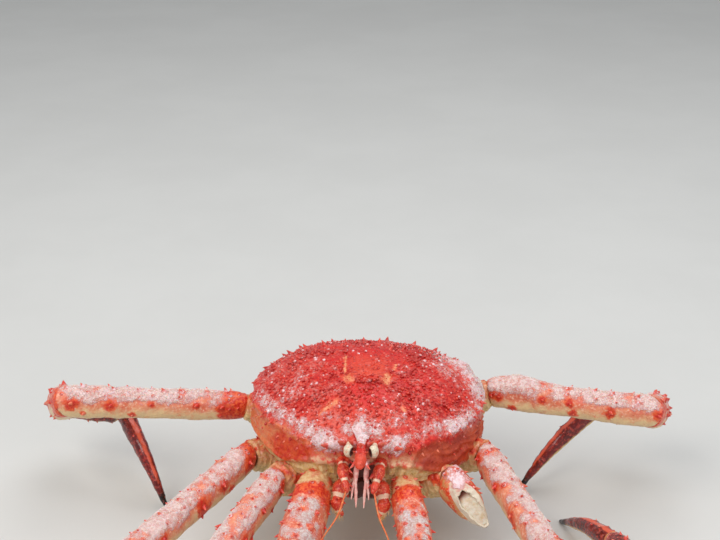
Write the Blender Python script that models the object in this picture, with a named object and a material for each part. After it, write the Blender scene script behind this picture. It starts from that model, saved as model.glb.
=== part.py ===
# Red king crab, life size, standing on its leg tips and claws.
# Metres, +Z up, floor at Z 0. The crab faces -Y and its own left side is +X.
# A place is given from the middle of the carapace, straight above the floor's zero point,
# and the last step moves the whole crab so that the middle of its box stands at the origin.
import math
import random

import bmesh
import bpy
from mathutils import Matrix, Vector

GAP = 0.0003            # clearance between neighbouring pieces
CUT_GROW = 0.0004       # growth of a rounded form that trims a neighbour, a little more for its facets
COLLECTION = "red_king_crab"

# spines: their roots sink into the shell, and each one's place and height vary a little
SPINE_SEED = 11
SPINE_SLIMNESS = 0.40   # radius at the shell over height
SPINE_ROOT = 0.0034     # depth of the root
SPINE_VARIATION = 0.20  # of the height
SPINE_WANDER = 0.22     # of the distance to the next one in the row
SPINE_LEAN = 0.35       # towards the rim on the shell and towards the tip on a limb

# carapace: rim height over the floor, sideways lean, dome height over the rim
RIM_HEIGHT = 0.115
BODY_LEAN = math.radians(-0.8)
DOME_HEIGHT = 0.033
DOME_FULLNESS = 2.3
RIM_STEP = 0.46         # share of the rings, from the top, that make the dome
CARAPACE_SIDES = 48
CARAPACE_RINGS = 20

# plan outline, as (degrees from the rostrum, radius): the dome's rim and the fullest part of the wall
RIM_OUTLINE = ((0, 0.079), (15, 0.0780), (35, 0.079), (55, 0.082), (75, 0.090), (90, 0.0955),
               (115, 0.1010), (140, 0.1015), (162, 0.095), (180, 0.091))
WALL_OUTLINE = ((0, 0.080), (15, 0.081), (35, 0.0855), (55, 0.0885), (75, 0.0945), (90, 0.0985),
                (115, 0.1025), (140, 0.1025), (162, 0.096), (180, 0.092))

# wall below the rim: share of the way down, and share of the way from the rim's outline to the wall's
WALL_BULGE = ((0.0, 0.0), (0.35, 0.85), (0.6, 1.0), (0.8, 0.6), (1.0, -0.6))
WALL_DEPTH = 0.052
WALL_TUCK = 0.20        # how much of its radius the wall loses below its fullest part
TUCK_START = 0.45
FACE_HALF_ANGLE = 24.0  # degrees either side of the rostrum that the face takes
FACE_RECESS = 0.010

# raised regions of the dome: centre x, centre y, reach x, reach y, height
REGIONS = ((0.0, -0.034, 0.030, 0.024, 0.0030),
           (0.0, 0.022, 0.021, 0.026, 0.0035),
           (0.054, 0.020, 0.034, 0.050, 0.0040),
           (-0.054, 0.020, 0.034, 0.050, 0.0040),
           (0.0, 0.066, 0.028, 0.016, 0.0025))

# the plane of the carapace's lower margin: how far it is under the rim, and its rise to the rear
MARGIN_DROP = 0.030
MARGIN_RISE = 0.10

# thorax, below the margin
THORAX_SHARE = 0.86     # of the wall outline
THORAX_BOTTOM = 0.068   # below the rim
THORAX_SIDES = 32
THORAX_RINGS = 14

# rows of spines round the shell, the same on both sides: step, first and last degrees from the rostrum,
# count on a side and height
CARAPACE_ROWS = ((0.085, 25, 155, 3, 0.0040),
                 (0.165, 14, 165, 5, 0.0042),
                 (0.250, 8, 172, 7, 0.0042),
                 (0.330, 12, 170, 8, 0.0045),
                 (0.400, 26, 174, 10, 0.0050),
                 (0.450, 30, 172, 11, 0.0068),
                 (0.600, 44, 162, 7, 0.0042))

# rostrum: a stout spine over the face, with smaller ones on top of it and beside it
ROSTRUM_BASE = (0.0, -0.068, 0.1210)
ROSTRUM_TIP = (0.0, -0.1050, 0.1130)
ROSTRUM_RADII = (0.0095, 0.0026)
ROSTRUM_SIDE_SPINES = (((0.0, -0.084, 0.1190), (0.0, -0.0905, 0.1265), 0.0032),
                       ((0.0045, -0.078, 0.1195), (0.0105, -0.0865, 0.1255), 0.0028),
                       ((0.0140, -0.0700, 0.1160), (0.0185, -0.0870, 0.1225), 0.0036),
                       ((0.0250, -0.0680, 0.1120), (0.0320, -0.0850, 0.1170), 0.0036))

LIMB_SIDES = 10
LIMB_RINGS = 9

# rows of spines along a limb: degrees round it from its top, first and last share, count and height
MERUS_ROWS = ((0, 0.22, 0.86, 6, 0.0050), (75, 0.30, 0.84, 4, 0.0042), (-75, 0.30, 0.84, 4, 0.0042),
              (140, 0.40, 0.80, 2, 0.0036), (-140, 0.40, 0.80, 2, 0.0036))
CARPUS_ROWS = ((0, 0.25, 0.80, 4, 0.0048), (70, 0.30, 0.76, 3, 0.0042), (-70, 0.30, 0.76, 3, 0.0042))
PROPODUS_ROWS = ((0, 0.20, 0.84, 5, 0.0034), (85, 0.22, 0.80, 3, 0.0032), (-85, 0.22, 0.80, 3, 0.0032))
STUMP_ROWS = ((20, 0.25, 0.55, 2, 0.0042), (80, 0.30, 0.55, 2, 0.0040), (-60, 0.30, 0.50, 2, 0.0040))
CLAW_MERUS_ROWS = ((0, 0.30, 0.82, 4, 0.0052), (60, 0.36, 0.80, 3, 0.0046), (-60, 0.36, 0.80, 3, 0.0046))
CLAW_CARPUS_ROWS = ((10, 0.30, 0.74, 3, 0.0058), (70, 0.32, 0.70, 3, 0.0056), (-60, 0.34, 0.68, 2, 0.0050))
PALM_ROWS = ((10, 0.24, 0.76, 4, 0.0050), (50, 0.28, 0.72, 3, 0.0046), (-40, 0.28, 0.72, 3, 0.0046))

# walking leg sections from the body out: radius at the start, the middle and the end
BASE_RADII = (0.0150, 0.0150, 0.0135)
MERUS_RADII = (0.0125, 0.0135, 0.0150)
CARPUS_RADII = (0.0130, 0.0150, 0.0140)
PROPODUS_RADII = (0.0130, 0.0125, 0.0110)
DACTYL_RADII = (0.0098, 0.0066, 0.0018)
LEG_FLATNESS = 0.88     # width over height of a leg section
DACTYL_BOW = 0.006
TIP_DROP = 0.0012       # how far a tip runs under the floor before it is cut flat

# joints of each leg: inside the body, then the ends of base, merus, carpus, propodus and dactyl
LEG_JOINTS = {
    "leg1_R": ((-0.044, -0.036, 0.060), (-0.071, -0.062, 0.074), (-0.118, -0.200, 0.064),
               (-0.156, -0.268, 0.074), (-0.225, -0.347, 0.052), (-0.264, -0.407, 0.0)),
    "leg2_R": ((-0.056, -0.006, 0.062), (-0.098, -0.026, 0.074), (-0.172, -0.175, 0.070),
               (-0.240, -0.203, 0.080), (-0.322, -0.140, 0.052), (-0.362, -0.072, 0.0)),
    "leg3_R": ((-0.058, 0.032, 0.068), (-0.108, 0.029, 0.089), (-0.259, -0.002, 0.106),
               (-0.284, 0.060, 0.067), (-0.225, 0.050, 0.068), (-0.176, -0.007, 0.0)),
    "leg2_L": ((0.056, -0.006, 0.066), (0.100, -0.024, 0.080), (0.156, -0.182, 0.071),
               (0.232, -0.190, 0.062), (0.203, -0.080, 0.036), (0.169, -0.002, 0.0)),
    "leg3_L": ((0.056, 0.034, 0.074), (0.105, 0.044, 0.101), (0.241, 0.013, 0.104),
               (0.257, 0.078, 0.069), (0.201, 0.073, 0.070), (0.134, 0.042, 0.0)),
}
STUMP_JOINTS = ((0.044, -0.036, 0.063), (0.070, -0.060, 0.077), (0.100, -0.096, 0.059))
STUMP_RADII = (0.0135, 0.0145, 0.0030)
STUMP_BREAK = ((0.0, -0.82, 0.57), 0.0065)   # the break's normal, and its depth in front of the stump's axis

# claws: inside the body, then the ends of base, merus, carpus, palm and fingers
CLAW_JOINTS = {
    "claw_R": ((-0.022, -0.036, 0.060), (-0.037, -0.068, 0.074), (-0.047, -0.148, 0.064),
               (-0.047, -0.196, 0.055), (-0.038, -0.268, 0.033), (-0.026, -0.330, 0.006)),
    "claw_L": ((0.022, -0.036, 0.062), (0.034, -0.068, 0.077), (0.046, -0.142, 0.066),
               (0.052, -0.184, 0.053), (0.050, -0.245, 0.029), (0.042, -0.297, 0.004)),
}
CLAW_SIZE = {"claw_R": 1.0, "claw_L": 0.80}
CLAW_BASE_RADII = (0.0140, 0.0150, 0.0150)
CLAW_MERUS_RADII = (0.0160, 0.0180, 0.0190)
CLAW_CARPUS_RADII = (0.0170, 0.0205, 0.0180)
PALM_RADII = (0.0150, 0.0220, 0.0210)
FINGER_RADII = (0.0120, 0.0090, 0.0035)
FINGER_SPREAD = 0.0112  # of each finger from the claw's middle line
PALM_FLATNESS = 0.78

# face, mirrored to both sides
EYE_PLACE = (0.0098, -0.0700, 0.1165)
EYE_RADIUS = 0.0046
EYE_REACH = 0.0165
EYE_RISE = 0.0025
ANTENNA_PATH = ((0.0155, -0.0680, 0.1010), (0.0140, -0.0880, 0.1000), (0.0100, -0.1020, 0.0900))
ANTENNA_RADII = (0.0052, 0.0054, 0.0026)
FLAGELLUM_PATH = ((0.0105, -0.0985, 0.0920), (0.0155, -0.1200, 0.0830), (0.0225, -0.1440, 0.0830),
                  (0.0275, -0.1700, 0.0900), (0.0330, -0.1980, 0.1050))
FLAGELLUM_RADII = (0.0011, 0.0004)
ANTENNULE_PATH = ((0.0042, -0.0660, 0.1010), (0.0040, -0.0880, 0.0960), (0.0030, -0.1040, 0.0780))
ANTENNULE_RADII = (0.0030, 0.0022, 0.0007)
MAXILLIPED_PATH = ((0.0110, -0.0520, 0.0790), (0.0155, -0.0780, 0.0810), (0.0185, -0.0920, 0.0720),
                   (0.0150, -0.0950, 0.0620))
MAXILLIPED_RADII = (0.0058, 0.0062, 0.0050, 0.0022)

# abdomen, from under the carapace's rear edge round to the belly
ABDOMEN_PATH = ((0.0, 0.064, 0.085), (0.0, 0.082, 0.070), (0.0, 0.074, 0.049), (0.0, 0.035, 0.0395),
                (0.0, -0.034, 0.0420))
ABDOMEN_WIDTHS = (0.046, 0.054, 0.053, 0.048, 0.018)
ABDOMEN_THICKNESS = (0.0070, 0.0088, 0.0090, 0.0085, 0.0050)

# plates raised on the abdomen: share along it, how far to a side, half width, half length and rise
ABDOMEN_PLATES = ((0.20, 0.0, 0.016, 0.0070, 0.0026), (0.20, 0.030, 0.013, 0.0075, 0.0026),
                  (0.20, -0.030, 0.013, 0.0075, 0.0026), (0.33, 0.0, 0.014, 0.0080, 0.0026),
                  (0.33, 0.032, 0.016, 0.0085, 0.0028), (0.33, -0.029, 0.013, 0.0080, 0.0024),
                  (0.48, 0.0, 0.014, 0.0085, 0.0026), (0.48, 0.032, 0.017, 0.0095, 0.0028),
                  (0.48, -0.029, 0.013, 0.0085, 0.0024), (0.64, 0.0, 0.013, 0.0085, 0.0024),
                  (0.64, 0.028, 0.014, 0.0090, 0.0026), (0.64, -0.026, 0.012, 0.0085, 0.0024),
                  (0.80, 0.0, 0.014, 0.0085, 0.0022))

SHELL_RED = (0.62, 0.055, 0.03)
LEG_RED = (0.66, 0.12, 0.07)
DARK_RED = (0.26, 0.02, 0.015)
UNDER_TAN = (0.62, 0.36, 0.18)
FEELER_ORANGE = (0.70, 0.20, 0.08)
EYE_BLACK = (0.012, 0.010, 0.010)


def clear_scene():
    for thing in list(bpy.data.objects):
        bpy.data.objects.remove(thing, do_unlink=True)


def curve_value(points, x):
    # height at x of a smooth curve through the (x, y) points, level beyond its ends
    if x <= points[0][0]:
        return points[0][1]
    if x >= points[-1][0]:
        return points[-1][1]
    index = 0
    while x > points[index + 1][0]:
        index += 1
    (x0, y0), (x1, y1) = points[index], points[index + 1]
    before = points[max(index - 1, 0)]
    after = points[min(index + 2, len(points) - 1)]
    span = x1 - x0
    slope0 = (y1 - before[1]) / (x1 - before[0]) * span
    slope1 = (after[1] - y0) / (after[0] - x0) * span
    u = (x - x0) / span
    return (y0 * (1 + 2 * u) * (1 - u) ** 2 + slope0 * u * (1 - u) ** 2
            + y1 * u * u * (3 - 2 * u) + slope1 * u * u * (u - 1))


def along(values, t):
    # a list of sizes, evenly spaced along a piece, read at share t
    steps = [(index / (len(values) - 1), value) for index, value in enumerate(values)]
    return curve_value(steps, t)


def path_point(path, t):
    return Vector(along([point[axis] for point in path], t) for axis in range(3))


def path_direction(path, t):
    step = 0.01
    return (path_point(path, min(t + step, 1.0)) - path_point(path, max(t - step, 0.0))).normalized()


def body_frame():
    # from the carapace's own frame, its rim at height 0, to the crab's frame
    return Matrix.Translation((0, 0, RIM_HEIGHT)) @ Matrix.Rotation(-BODY_LEAN, 4, "Y")


def margin_plane(drop=0.0):
    # a point and the upward normal of the plane of the carapace's lower margin
    frame = body_frame()
    normal = frame.to_3x3() @ Vector((0, -MARGIN_RISE, 1)).normalized()
    return frame @ Vector((0, 0, -MARGIN_DROP - drop)), normal


def region_height(x, y):
    height = 0.0
    for centre_x, centre_y, reach_x, reach_y, rise in REGIONS:
        spread = ((x - centre_x) / reach_x) ** 2 + ((y - centre_y) / reach_y) ** 2
        height += rise * math.exp(-spread)
    return height


def carapace_point(angle, step, grow=0.0):
    # a point of the shell: angle in radians from the rostrum, step 0 at the top and 1 at the bottom
    degrees = abs(math.degrees(angle))
    rim = curve_value(RIM_OUTLINE, degrees) + grow
    wall = curve_value(WALL_OUTLINE, degrees) + grow
    if step <= RIM_STEP:
        share = step / RIM_STEP
        spread = math.sin(share * math.pi / 2) ** 0.92
        radius = rim * spread
        x, y = radius * math.sin(angle), -radius * math.cos(angle)
        fade = 1.0 - spread ** 4
        height = DOME_HEIGHT * (1.0 - spread ** DOME_FULLNESS) ** 0.8
        height += region_height(x, y) * fade + grow * fade
        return Vector((x, y, height))
    share = (step - RIM_STEP) / (1.0 - RIM_STEP)
    radius = rim + (wall - rim) * curve_value(WALL_BULGE, share)
    radius -= WALL_TUCK * wall * max(share - TUCK_START, 0.0) ** 1.6
    if degrees < FACE_HALF_ANGLE:
        inset = (1.0 - (degrees / FACE_HALF_ANGLE) ** 2) ** 2
        radius -= FACE_RECESS * inset * math.sin(min(share * 2.5, 1.0) * math.pi / 2)
    closing = max((share - 0.9) / 0.1, 0.0)
    radius *= 1.0 - closing
    return Vector((radius * math.sin(angle), -radius * math.cos(angle), -WALL_DEPTH * share))


def round_mesh(sides, rings, place):
    # a closed sphere whose points are moved by place(angle, share from the top)
    bm = bmesh.new()
    bmesh.ops.create_uvsphere(bm, u_segments=sides, v_segments=rings, radius=1.0)
    for vert in bm.verts:
        polar = math.acos(max(-1.0, min(1.0, vert.co.z)))
        vert.co = place(math.atan2(vert.co.x, -vert.co.y), polar / math.pi)
    bmesh.ops.recalc_face_normals(bm, faces=bm.faces)
    return bm


def cut_away(bm, point, normal):
    # removes what lies on the normal's side of a plane and closes the cut with one face
    everything = list(bm.verts) + list(bm.edges) + list(bm.faces)
    cut = bmesh.ops.bisect_plane(bm, geom=everything, dist=1e-7, plane_co=point, plane_no=normal,
                                 clear_outer=True)
    rim = [item for item in cut["geom_cut"] if isinstance(item, bmesh.types.BMEdge)]
    if rim:
        bmesh.ops.contextual_create(bm, geom=rim)
    bmesh.ops.recalc_face_normals(bm, faces=bm.faces)
    return bm


def limb_surface(path, radii, flatness=1.0, up=(0, 0, 1), runs=(0.0, 0.0), widths=None, grow=0.0,
                 end_power=5.0, across=None):
    # the surface of a round-ended form along a path, as a function of the angle round it, 0 underneath,
    # and the share along it. Its sizes are read from lists, and runs lengthen both its ends
    # across is its sideways direction, where that is the same all along and up is not
    points = [Vector(point) for point in path]
    first = (points[1] - points[0]).normalized()
    last = (points[-1] - points[-2]).normalized()
    points[0] = points[0] - first * (runs[0] + grow)
    points[-1] = points[-1] + last * (runs[1] + grow)
    up = Vector(up)

    def surface(angle, t):
        direction = path_direction(points, t)
        side = Vector(across) if across else direction.cross(up).normalized()
        top = side.cross(direction)
        rounding = max(1.0 - abs(2 * t - 1.0) ** end_power, 0.0) ** (1.0 / end_power)
        height = along(radii, t)
        width = along(widths, t) if widths else height * flatness
        offset = side * math.sin(angle) * (width + grow) + top * -math.cos(angle) * (height + grow)
        return path_point(points, t) + offset * rounding

    return surface


def sweep(path, radii, sides=LIMB_SIDES, rings=LIMB_RINGS, **shape):
    # the closed form of a limb's surface, its rings closer together at the ends
    return swept(limb_surface(path, radii, **shape), sides, rings)


def swept(surface, sides=LIMB_SIDES, rings=LIMB_RINGS):
    def place(angle, share):
        return surface(angle, 0.45 * share + 0.55 * (1.0 - math.cos(math.pi * share)) / 2)

    return round_mesh(sides, rings, place)


def spine_on(surface, angle, t, height, inside, lean=SPINE_LEAN):
    # a spine square to a surface but for its lean; inside is a point under that surface
    step = 0.01
    foot = surface(angle, t)
    onward = (surface(angle, t + step) - surface(angle, t - step)).normalized()
    around = surface(angle + step, t) - surface(angle - step, t)
    normal = onward.cross(around).normalized()
    if normal.dot(foot - inside) < 0:
        normal = -normal
    root = foot - normal * SPINE_ROOT
    tip = foot + (normal + onward * lean).normalized() * height
    slope = (tip - root).length / (tip - foot).length
    return cone(root, tip, height * SPINE_SLIMNESS * slope, 0.0)


def varied(count, first, last, chance):
    # evenly spaced places from first to last, each moved a little
    spacing = (last - first) / max(count - 1, 1)
    return [first + spacing * (index + chance.uniform(-SPINE_WANDER, SPINE_WANDER))
            for index in range(count)]


def limb_spines(surface, rows, chance, scale=1.0):
    # spines in rows along a limb
    spines = []
    for degrees, first, last, count, height in rows:
        for t in varied(count, first, last, chance):
            angle = math.pi + math.radians(degrees + chance.uniform(-9, 9))
            inside = (surface(angle, t) + surface(angle + math.pi, t)) / 2
            tall = height * scale * chance.uniform(1 - SPINE_VARIATION, 1 + SPINE_VARIATION)
            spines.append(spine_on(surface, angle, t, tall, inside))
    return spines


def upward(start, end):
    # the upright direction across a limb, or the crab's rear for one that is close to upright itself
    direction = (Vector(end) - Vector(start)).normalized()
    return (0, 0, 1) if abs(direction.z) < 0.85 else (0, 1, 0)


def joint_planes(joints):
    # for each joint between two sections: its point, the plane's normal and the half bend's tangent
    planes = []
    for before, joint, after in zip(joints, joints[1:], joints[2:]):
        inward = (Vector(joint) - Vector(before)).normalized()
        outward = (Vector(after) - Vector(joint)).normalized()
        normal = (inward + outward).normalized()
        planes.append((Vector(joint), normal, math.tan(math.acos(inward.dot(outward)) / 2)))
    return planes


def section(joints, index, radii, flatness=LEG_FLATNESS, bow=0.0, last=False, scale=1.0, rows=(),
            chance=None):
    # one length of a limb between two joints, cut along the joint planes, and its spines
    planes = joint_planes(joints)
    start, end = Vector(joints[index]), Vector(joints[index + 1])
    sizes = [radius * scale for radius in radii]
    up = Vector(upward(start, end))
    path = [start, (start + end) / 2 + up * bow, end] if bow else [start, end]
    runs = [0.0, 0.0]
    if index > 0:
        runs[0] = sizes[0] * min(0.45 + planes[index - 1][2], 1.1)
    if not last:
        runs[1] = sizes[-1] * min(0.45 + planes[index][2], 1.1)
    surface = limb_surface(path, sizes, flatness, up, runs=runs)
    bm = swept(surface)
    spines = limb_spines(surface, rows, chance, scale)
    if index > 0:
        point, normal, _ = planes[index - 1]
        cut_away(bm, point + normal * GAP / 2, -normal)
        spines = behind_plane(spines, point + normal * GAP, -normal)
    if not last:
        point, normal, _ = planes[index]
        cut_away(bm, point - normal * GAP / 2, normal)
        spines = behind_plane(spines, point - normal * GAP, normal)
    return bm, spines


def behind_plane(spines, point, normal):
    # the spines that stay clear of the next section, on the other side of its joint plane
    kept = []
    for spine in spines:
        if max((vert.co - point).dot(normal) for vert in spine.verts) < 0:
            kept.append(spine)
        else:
            spine.free()
    return kept


def cone(base, tip, base_radius, tip_radius, sides=5):
    # a straight tapering form from base to tip
    base, tip = Vector(base), Vector(tip)
    bm = bmesh.new()
    bmesh.ops.create_cone(bm, cap_ends=True, segments=sides, radius1=base_radius, radius2=tip_radius,
                          depth=(tip - base).length)
    turn = (tip - base).to_track_quat("Z", "Y").to_matrix().to_4x4()
    bmesh.ops.transform(bm, matrix=Matrix.Translation((base + tip) / 2) @ turn, verts=bm.verts)
    return bm


def object_from(bm, name, collection):
    mesh = bpy.data.meshes.new(name)
    bm.to_mesh(mesh)
    bm.free()
    thing = bpy.data.objects.new(name, mesh)
    collection.objects.link(thing)
    return thing


def keep_largest(mesh):
    # keeps the closed surface with the greatest volume
    bm = bmesh.new()
    bm.from_mesh(mesh)
    loose = set(bm.faces)
    surfaces = []
    while loose:
        surface = [loose.pop()]
        for face in surface:
            for edge in face.edges:
                for near in edge.link_faces:
                    if near in loose:
                        loose.discard(near)
                        surface.append(near)
        surfaces.append(surface)
    if len(surfaces) > 1:
        surfaces.sort(key=surface_volume)
        drop = [face for surface in surfaces[:-1] for face in surface]
        bmesh.ops.delete(bm, geom=drop, context="FACES")
        bm.to_mesh(mesh)
    bm.free()


def surface_volume(faces):
    volume = 0.0
    for face in faces:
        corner = face.verts[0].co
        for second, third in zip(face.verts[1:], face.verts[2:]):
            volume += corner.dot(second.co.cross(third.co)) / 6
    return abs(volume)


def combine(piece, shapes, operation):
    # joins or cuts a piece with a collection of closed shapes, and applies the result
    if not shapes:
        return
    tools = bpy.data.collections.new("tools")
    bpy.context.scene.collection.children.link(tools)
    for shape in shapes:
        tool = object_from(shape, "tool", tools)
        tool.hide_render = True
        tool.display_type = "WIRE"
    modifier = piece.modifiers.new("combine", "BOOLEAN")
    modifier.operation = operation
    modifier.operand_type = "COLLECTION"
    modifier.collection = tools
    modifier.solver = "EXACT"
    graph = bpy.context.evaluated_depsgraph_get()
    result = bpy.data.meshes.new_from_object(piece.evaluated_get(graph))
    piece.modifiers.clear()
    old = piece.data
    piece.data = result
    bpy.data.meshes.remove(old)
    result.name = piece.name
    for tool in list(tools.objects):
        bpy.data.objects.remove(tool, do_unlink=True)
    bpy.data.collections.remove(tools)
    keep_largest(piece.data)


def shell_material(name, colour, roughness):
    material = bpy.data.materials.new(name + "_shell")
    material.use_nodes = True
    shader = material.node_tree.nodes["Principled BSDF"]
    shader.inputs["Base Color"].default_value = (*colour, 1)
    shader.inputs["Roughness"].default_value = roughness
    shader.inputs["Metallic"].default_value = 0.0
    material.diffuse_color = (*colour, 1)
    return material


def node(name, bm, colour, roughness=0.5, joined=(), cutters=()):
    # one named piece of the crab
    piece = object_from(bm, name, bpy.data.collections[COLLECTION])
    combine(piece, list(joined), "UNION")
    combine(piece, list(cutters), "DIFFERENCE")
    piece.data.materials.clear()
    piece.data.materials.append(shell_material(name, colour, roughness))
    piece.data.shade_smooth()
    piece.data.set_sharp_from_angle(angle=math.radians(40))
    return piece


def carapace_form(grow=0.0):
    frame = body_frame()
    bm = round_mesh(CARAPACE_SIDES, CARAPACE_RINGS,
                    lambda angle, share: frame @ carapace_point(angle, share, grow))
    point, normal = margin_plane(grow)
    return cut_away(bm, point, -normal)


def thorax_form(grow=0.0):
    frame = body_frame()

    def place(angle, share):
        wall = curve_value(WALL_OUTLINE, abs(math.degrees(angle)))
        tilt = math.pi * share
        radius = THORAX_SHARE * wall * math.sin(tilt) ** 0.55 + grow * math.sin(tilt)
        middle = -MARGIN_DROP - 0.006
        depth = THORAX_BOTTOM + middle + grow
        height = middle + depth * math.copysign(abs(math.cos(tilt)) ** 0.8, math.cos(tilt))
        return frame @ Vector((radius * math.sin(angle), -radius * math.cos(angle), height))

    bm = round_mesh(THORAX_SIDES, THORAX_RINGS, place)
    point, normal = margin_plane(GAP - grow)
    return cut_away(bm, point, normal)


def rostrum_form(grow=0.0):
    base, tip = Vector(ROSTRUM_BASE), Vector(ROSTRUM_TIP)
    forward = (tip - base).normalized()
    return cone(base, tip + forward * grow, ROSTRUM_RADII[0] + grow, ROSTRUM_RADII[1] + grow, sides=8)


def body_cutters():
    # the body's own forms, larger by the clearance
    return [carapace_form(CUT_GROW), rostrum_form(CUT_GROW), thorax_form(CUT_GROW)]


def carapace_spines(chance):
    frame = body_frame()
    inside = frame @ Vector((0, 0, -MARGIN_DROP))

    def surface(angle, t):
        return frame @ carapace_point(angle, t)

    spines = []
    for step, first, last, count, height in CARAPACE_ROWS:
        for side in (-1, 1):
            for degrees in varied(count, first, last, chance):
                tall = height * chance.uniform(1 - SPINE_VARIATION, 1 + SPINE_VARIATION)
                angle = side * math.radians(degrees)
                spines.append(spine_on(surface, angle, step + chance.uniform(-0.012, 0.012), tall, inside))
    return spines


def rostrum_spines():
    spines = []
    for root, tip, radius in ROSTRUM_SIDE_SPINES:
        for side in (-1, 1) if root[0] else (1,):
            spine_root, spine_tip = mirrored([root, tip], side)
            spines.append(cone(spine_root, spine_tip, radius, 0.0))
    return spines


def abdomen_plates(surface):
    plates = []
    for share, aside, half_width, half_length, rise in ABDOMEN_PLATES:
        angle = math.pi - math.asin(aside / along(ABDOMEN_WIDTHS, share))
        centre = surface(angle, share)
        onward = path_direction([Vector(point) for point in ABDOMEN_PATH], share)
        side = (surface(angle + 0.05, share) - surface(angle - 0.05, share)).normalized()
        bm = bmesh.new()
        bmesh.ops.create_uvsphere(bm, u_segments=8, v_segments=6, radius=1.0)
        axes = Matrix((side * half_width, onward * half_length, side.cross(onward) * rise)).transposed()
        bmesh.ops.transform(bm, matrix=Matrix.Translation(centre) @ axes.to_4x4(), verts=bm.verts)
        bmesh.ops.recalc_face_normals(bm, faces=bm.faces)
        plates.append(bm)
    return plates


def body(chance):
    node("carapace", carapace_form(), SHELL_RED, 0.45,
         joined=[rostrum_form(), *rostrum_spines(), *carapace_spines(chance)])
    node("thorax", thorax_form(), UNDER_TAN, 0.55)
    surface = limb_surface(ABDOMEN_PATH, ABDOMEN_THICKNESS, across=(1, 0, 0), widths=ABDOMEN_WIDTHS,
                           end_power=4.0)
    node("abdomen", swept(surface, 16, 14), UNDER_TAN, 0.5, joined=abdomen_plates(surface),
         cutters=body_cutters())


def walking_legs(chance):
    for name, joints in LEG_JOINTS.items():
        root, _ = section(joints, 0, BASE_RADII)
        node(name + "_base", root, UNDER_TAN, 0.5, cutters=body_cutters())
        merus, spines = section(joints, 1, MERUS_RADII, rows=MERUS_ROWS, chance=chance)
        node(name + "_merus", merus, LEG_RED, 0.5, joined=spines, cutters=body_cutters())
        carpus, spines = section(joints, 2, CARPUS_RADII, rows=CARPUS_ROWS, chance=chance)
        node(name + "_carpus", carpus, LEG_RED, 0.5, joined=spines)
        propodus, spines = section(joints, 3, PROPODUS_RADII, rows=PROPODUS_ROWS, chance=chance)
        node(name + "_propodus", propodus, DARK_RED, 0.4, joined=spines)
        tip = Vector(joints[5]) + (Vector(joints[5]) - Vector(joints[4])).normalized() * TIP_DROP
        whole = (*joints[:5], tip)
        dactyl, _ = section(whole, 4, DACTYL_RADII, bow=DACTYL_BOW, last=True)
        cut_away(dactyl, Vector((0, 0, 0)), Vector((0, 0, -1)))
        node(name + "_dactyl", dactyl, DARK_RED, 0.35)


def broken_leg(chance):
    root, _ = section(STUMP_JOINTS, 0, BASE_RADII)
    node("leg1_L_base", root, UNDER_TAN, 0.5, cutters=body_cutters())
    stump, spines = section(STUMP_JOINTS, 1, STUMP_RADII, last=True, rows=STUMP_ROWS, chance=chance)
    normal, depth = Vector(STUMP_BREAK[0]).normalized(), STUMP_BREAK[1]
    start, end = Vector(STUMP_JOINTS[1]), Vector(STUMP_JOINTS[2])
    cut_away(stump, (start + end * 2) / 3 + normal * depth, normal)
    node("leg1_L_stump", stump, LEG_RED, 0.5, joined=spines, cutters=body_cutters())


def claws(chance):
    for name, joints in CLAW_JOINTS.items():
        size = CLAW_SIZE[name]
        root, _ = section(joints, 0, CLAW_BASE_RADII, scale=size ** 0.5)
        node(name + "_base", root, UNDER_TAN, 0.5, cutters=body_cutters())
        merus, spines = section(joints, 1, CLAW_MERUS_RADII, scale=size, rows=CLAW_MERUS_ROWS,
                                chance=chance)
        node(name + "_merus", merus, LEG_RED, 0.5, joined=spines, cutters=body_cutters())
        carpus, spines = section(joints, 2, CLAW_CARPUS_RADII, scale=size, rows=CLAW_CARPUS_ROWS,
                                 chance=chance)
        node(name + "_carpus", carpus, LEG_RED, 0.5, joined=spines)
        palm, fixed, moving = claw_forms(joints, size, 0.0)
        grown_palm, grown_fixed, _ = claw_forms(joints, size, GAP)
        palm_spines = limb_spines(palm_surface(joints, size), PALM_ROWS, chance, size)
        node(name + "_palm", palm, LEG_RED, 0.45, joined=[fixed, *palm_spines])
        node(name + "_finger", moving, LEG_RED, 0.4, cutters=[grown_palm, grown_fixed])


def claw_axes(joints):
    # the direction of a claw's fingers, and the upright direction across them
    forward = (Vector(joints[5]) - Vector(joints[4])).normalized()
    return forward, (Vector((0, 0, 1)) - forward * forward.z).normalized()


def palm_surface(joints, size, grow=0.0):
    _, upper = claw_axes(joints)
    radii = [radius * size for radius in PALM_RADII]
    run = radii[0] * min(0.45 + joint_planes(joints)[2][2], 1.1)
    return limb_surface([joints[3], joints[4]], radii, PALM_FLATNESS, upper, runs=(run, 0.006 * size),
                        grow=grow)


def claw_forms(joints, size, grow):
    # the palm, its fixed finger and the moving finger of a claw, the fixed one cut flat on the floor
    knuckle, tip = Vector(joints[4]), Vector(joints[5])
    forward, upper = claw_axes(joints)
    spread = upper * FINGER_SPREAD * size
    point, normal, _ = joint_planes(joints)[2]
    palm = swept(palm_surface(joints, size, grow))
    cut_away(palm, point + normal * GAP / 2, -normal)
    sizes = [radius * size for radius in FINGER_RADII]
    root = knuckle - forward * 0.014 * size
    low_path = [root - spread, (knuckle + tip) / 2 - spread * 1.15, tip - spread * 0.35]
    high_path = [root + spread, (knuckle + tip) / 2 + spread * 1.25, tip + spread * 0.45]
    fixed = sweep(low_path, sizes, flatness=0.9, up=upper, grow=grow)
    moving = sweep(high_path, sizes, flatness=0.9, up=upper)
    for form in (palm, fixed):
        cut_away(form, Vector((0, 0, 0)), Vector((0, 0, -1)))
    return palm, fixed, moving


def mirrored(path, side):
    return [Vector((point[0] * side, point[1], point[2] + point[0] * side * math.sin(BODY_LEAN)))
            for point in path]


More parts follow.
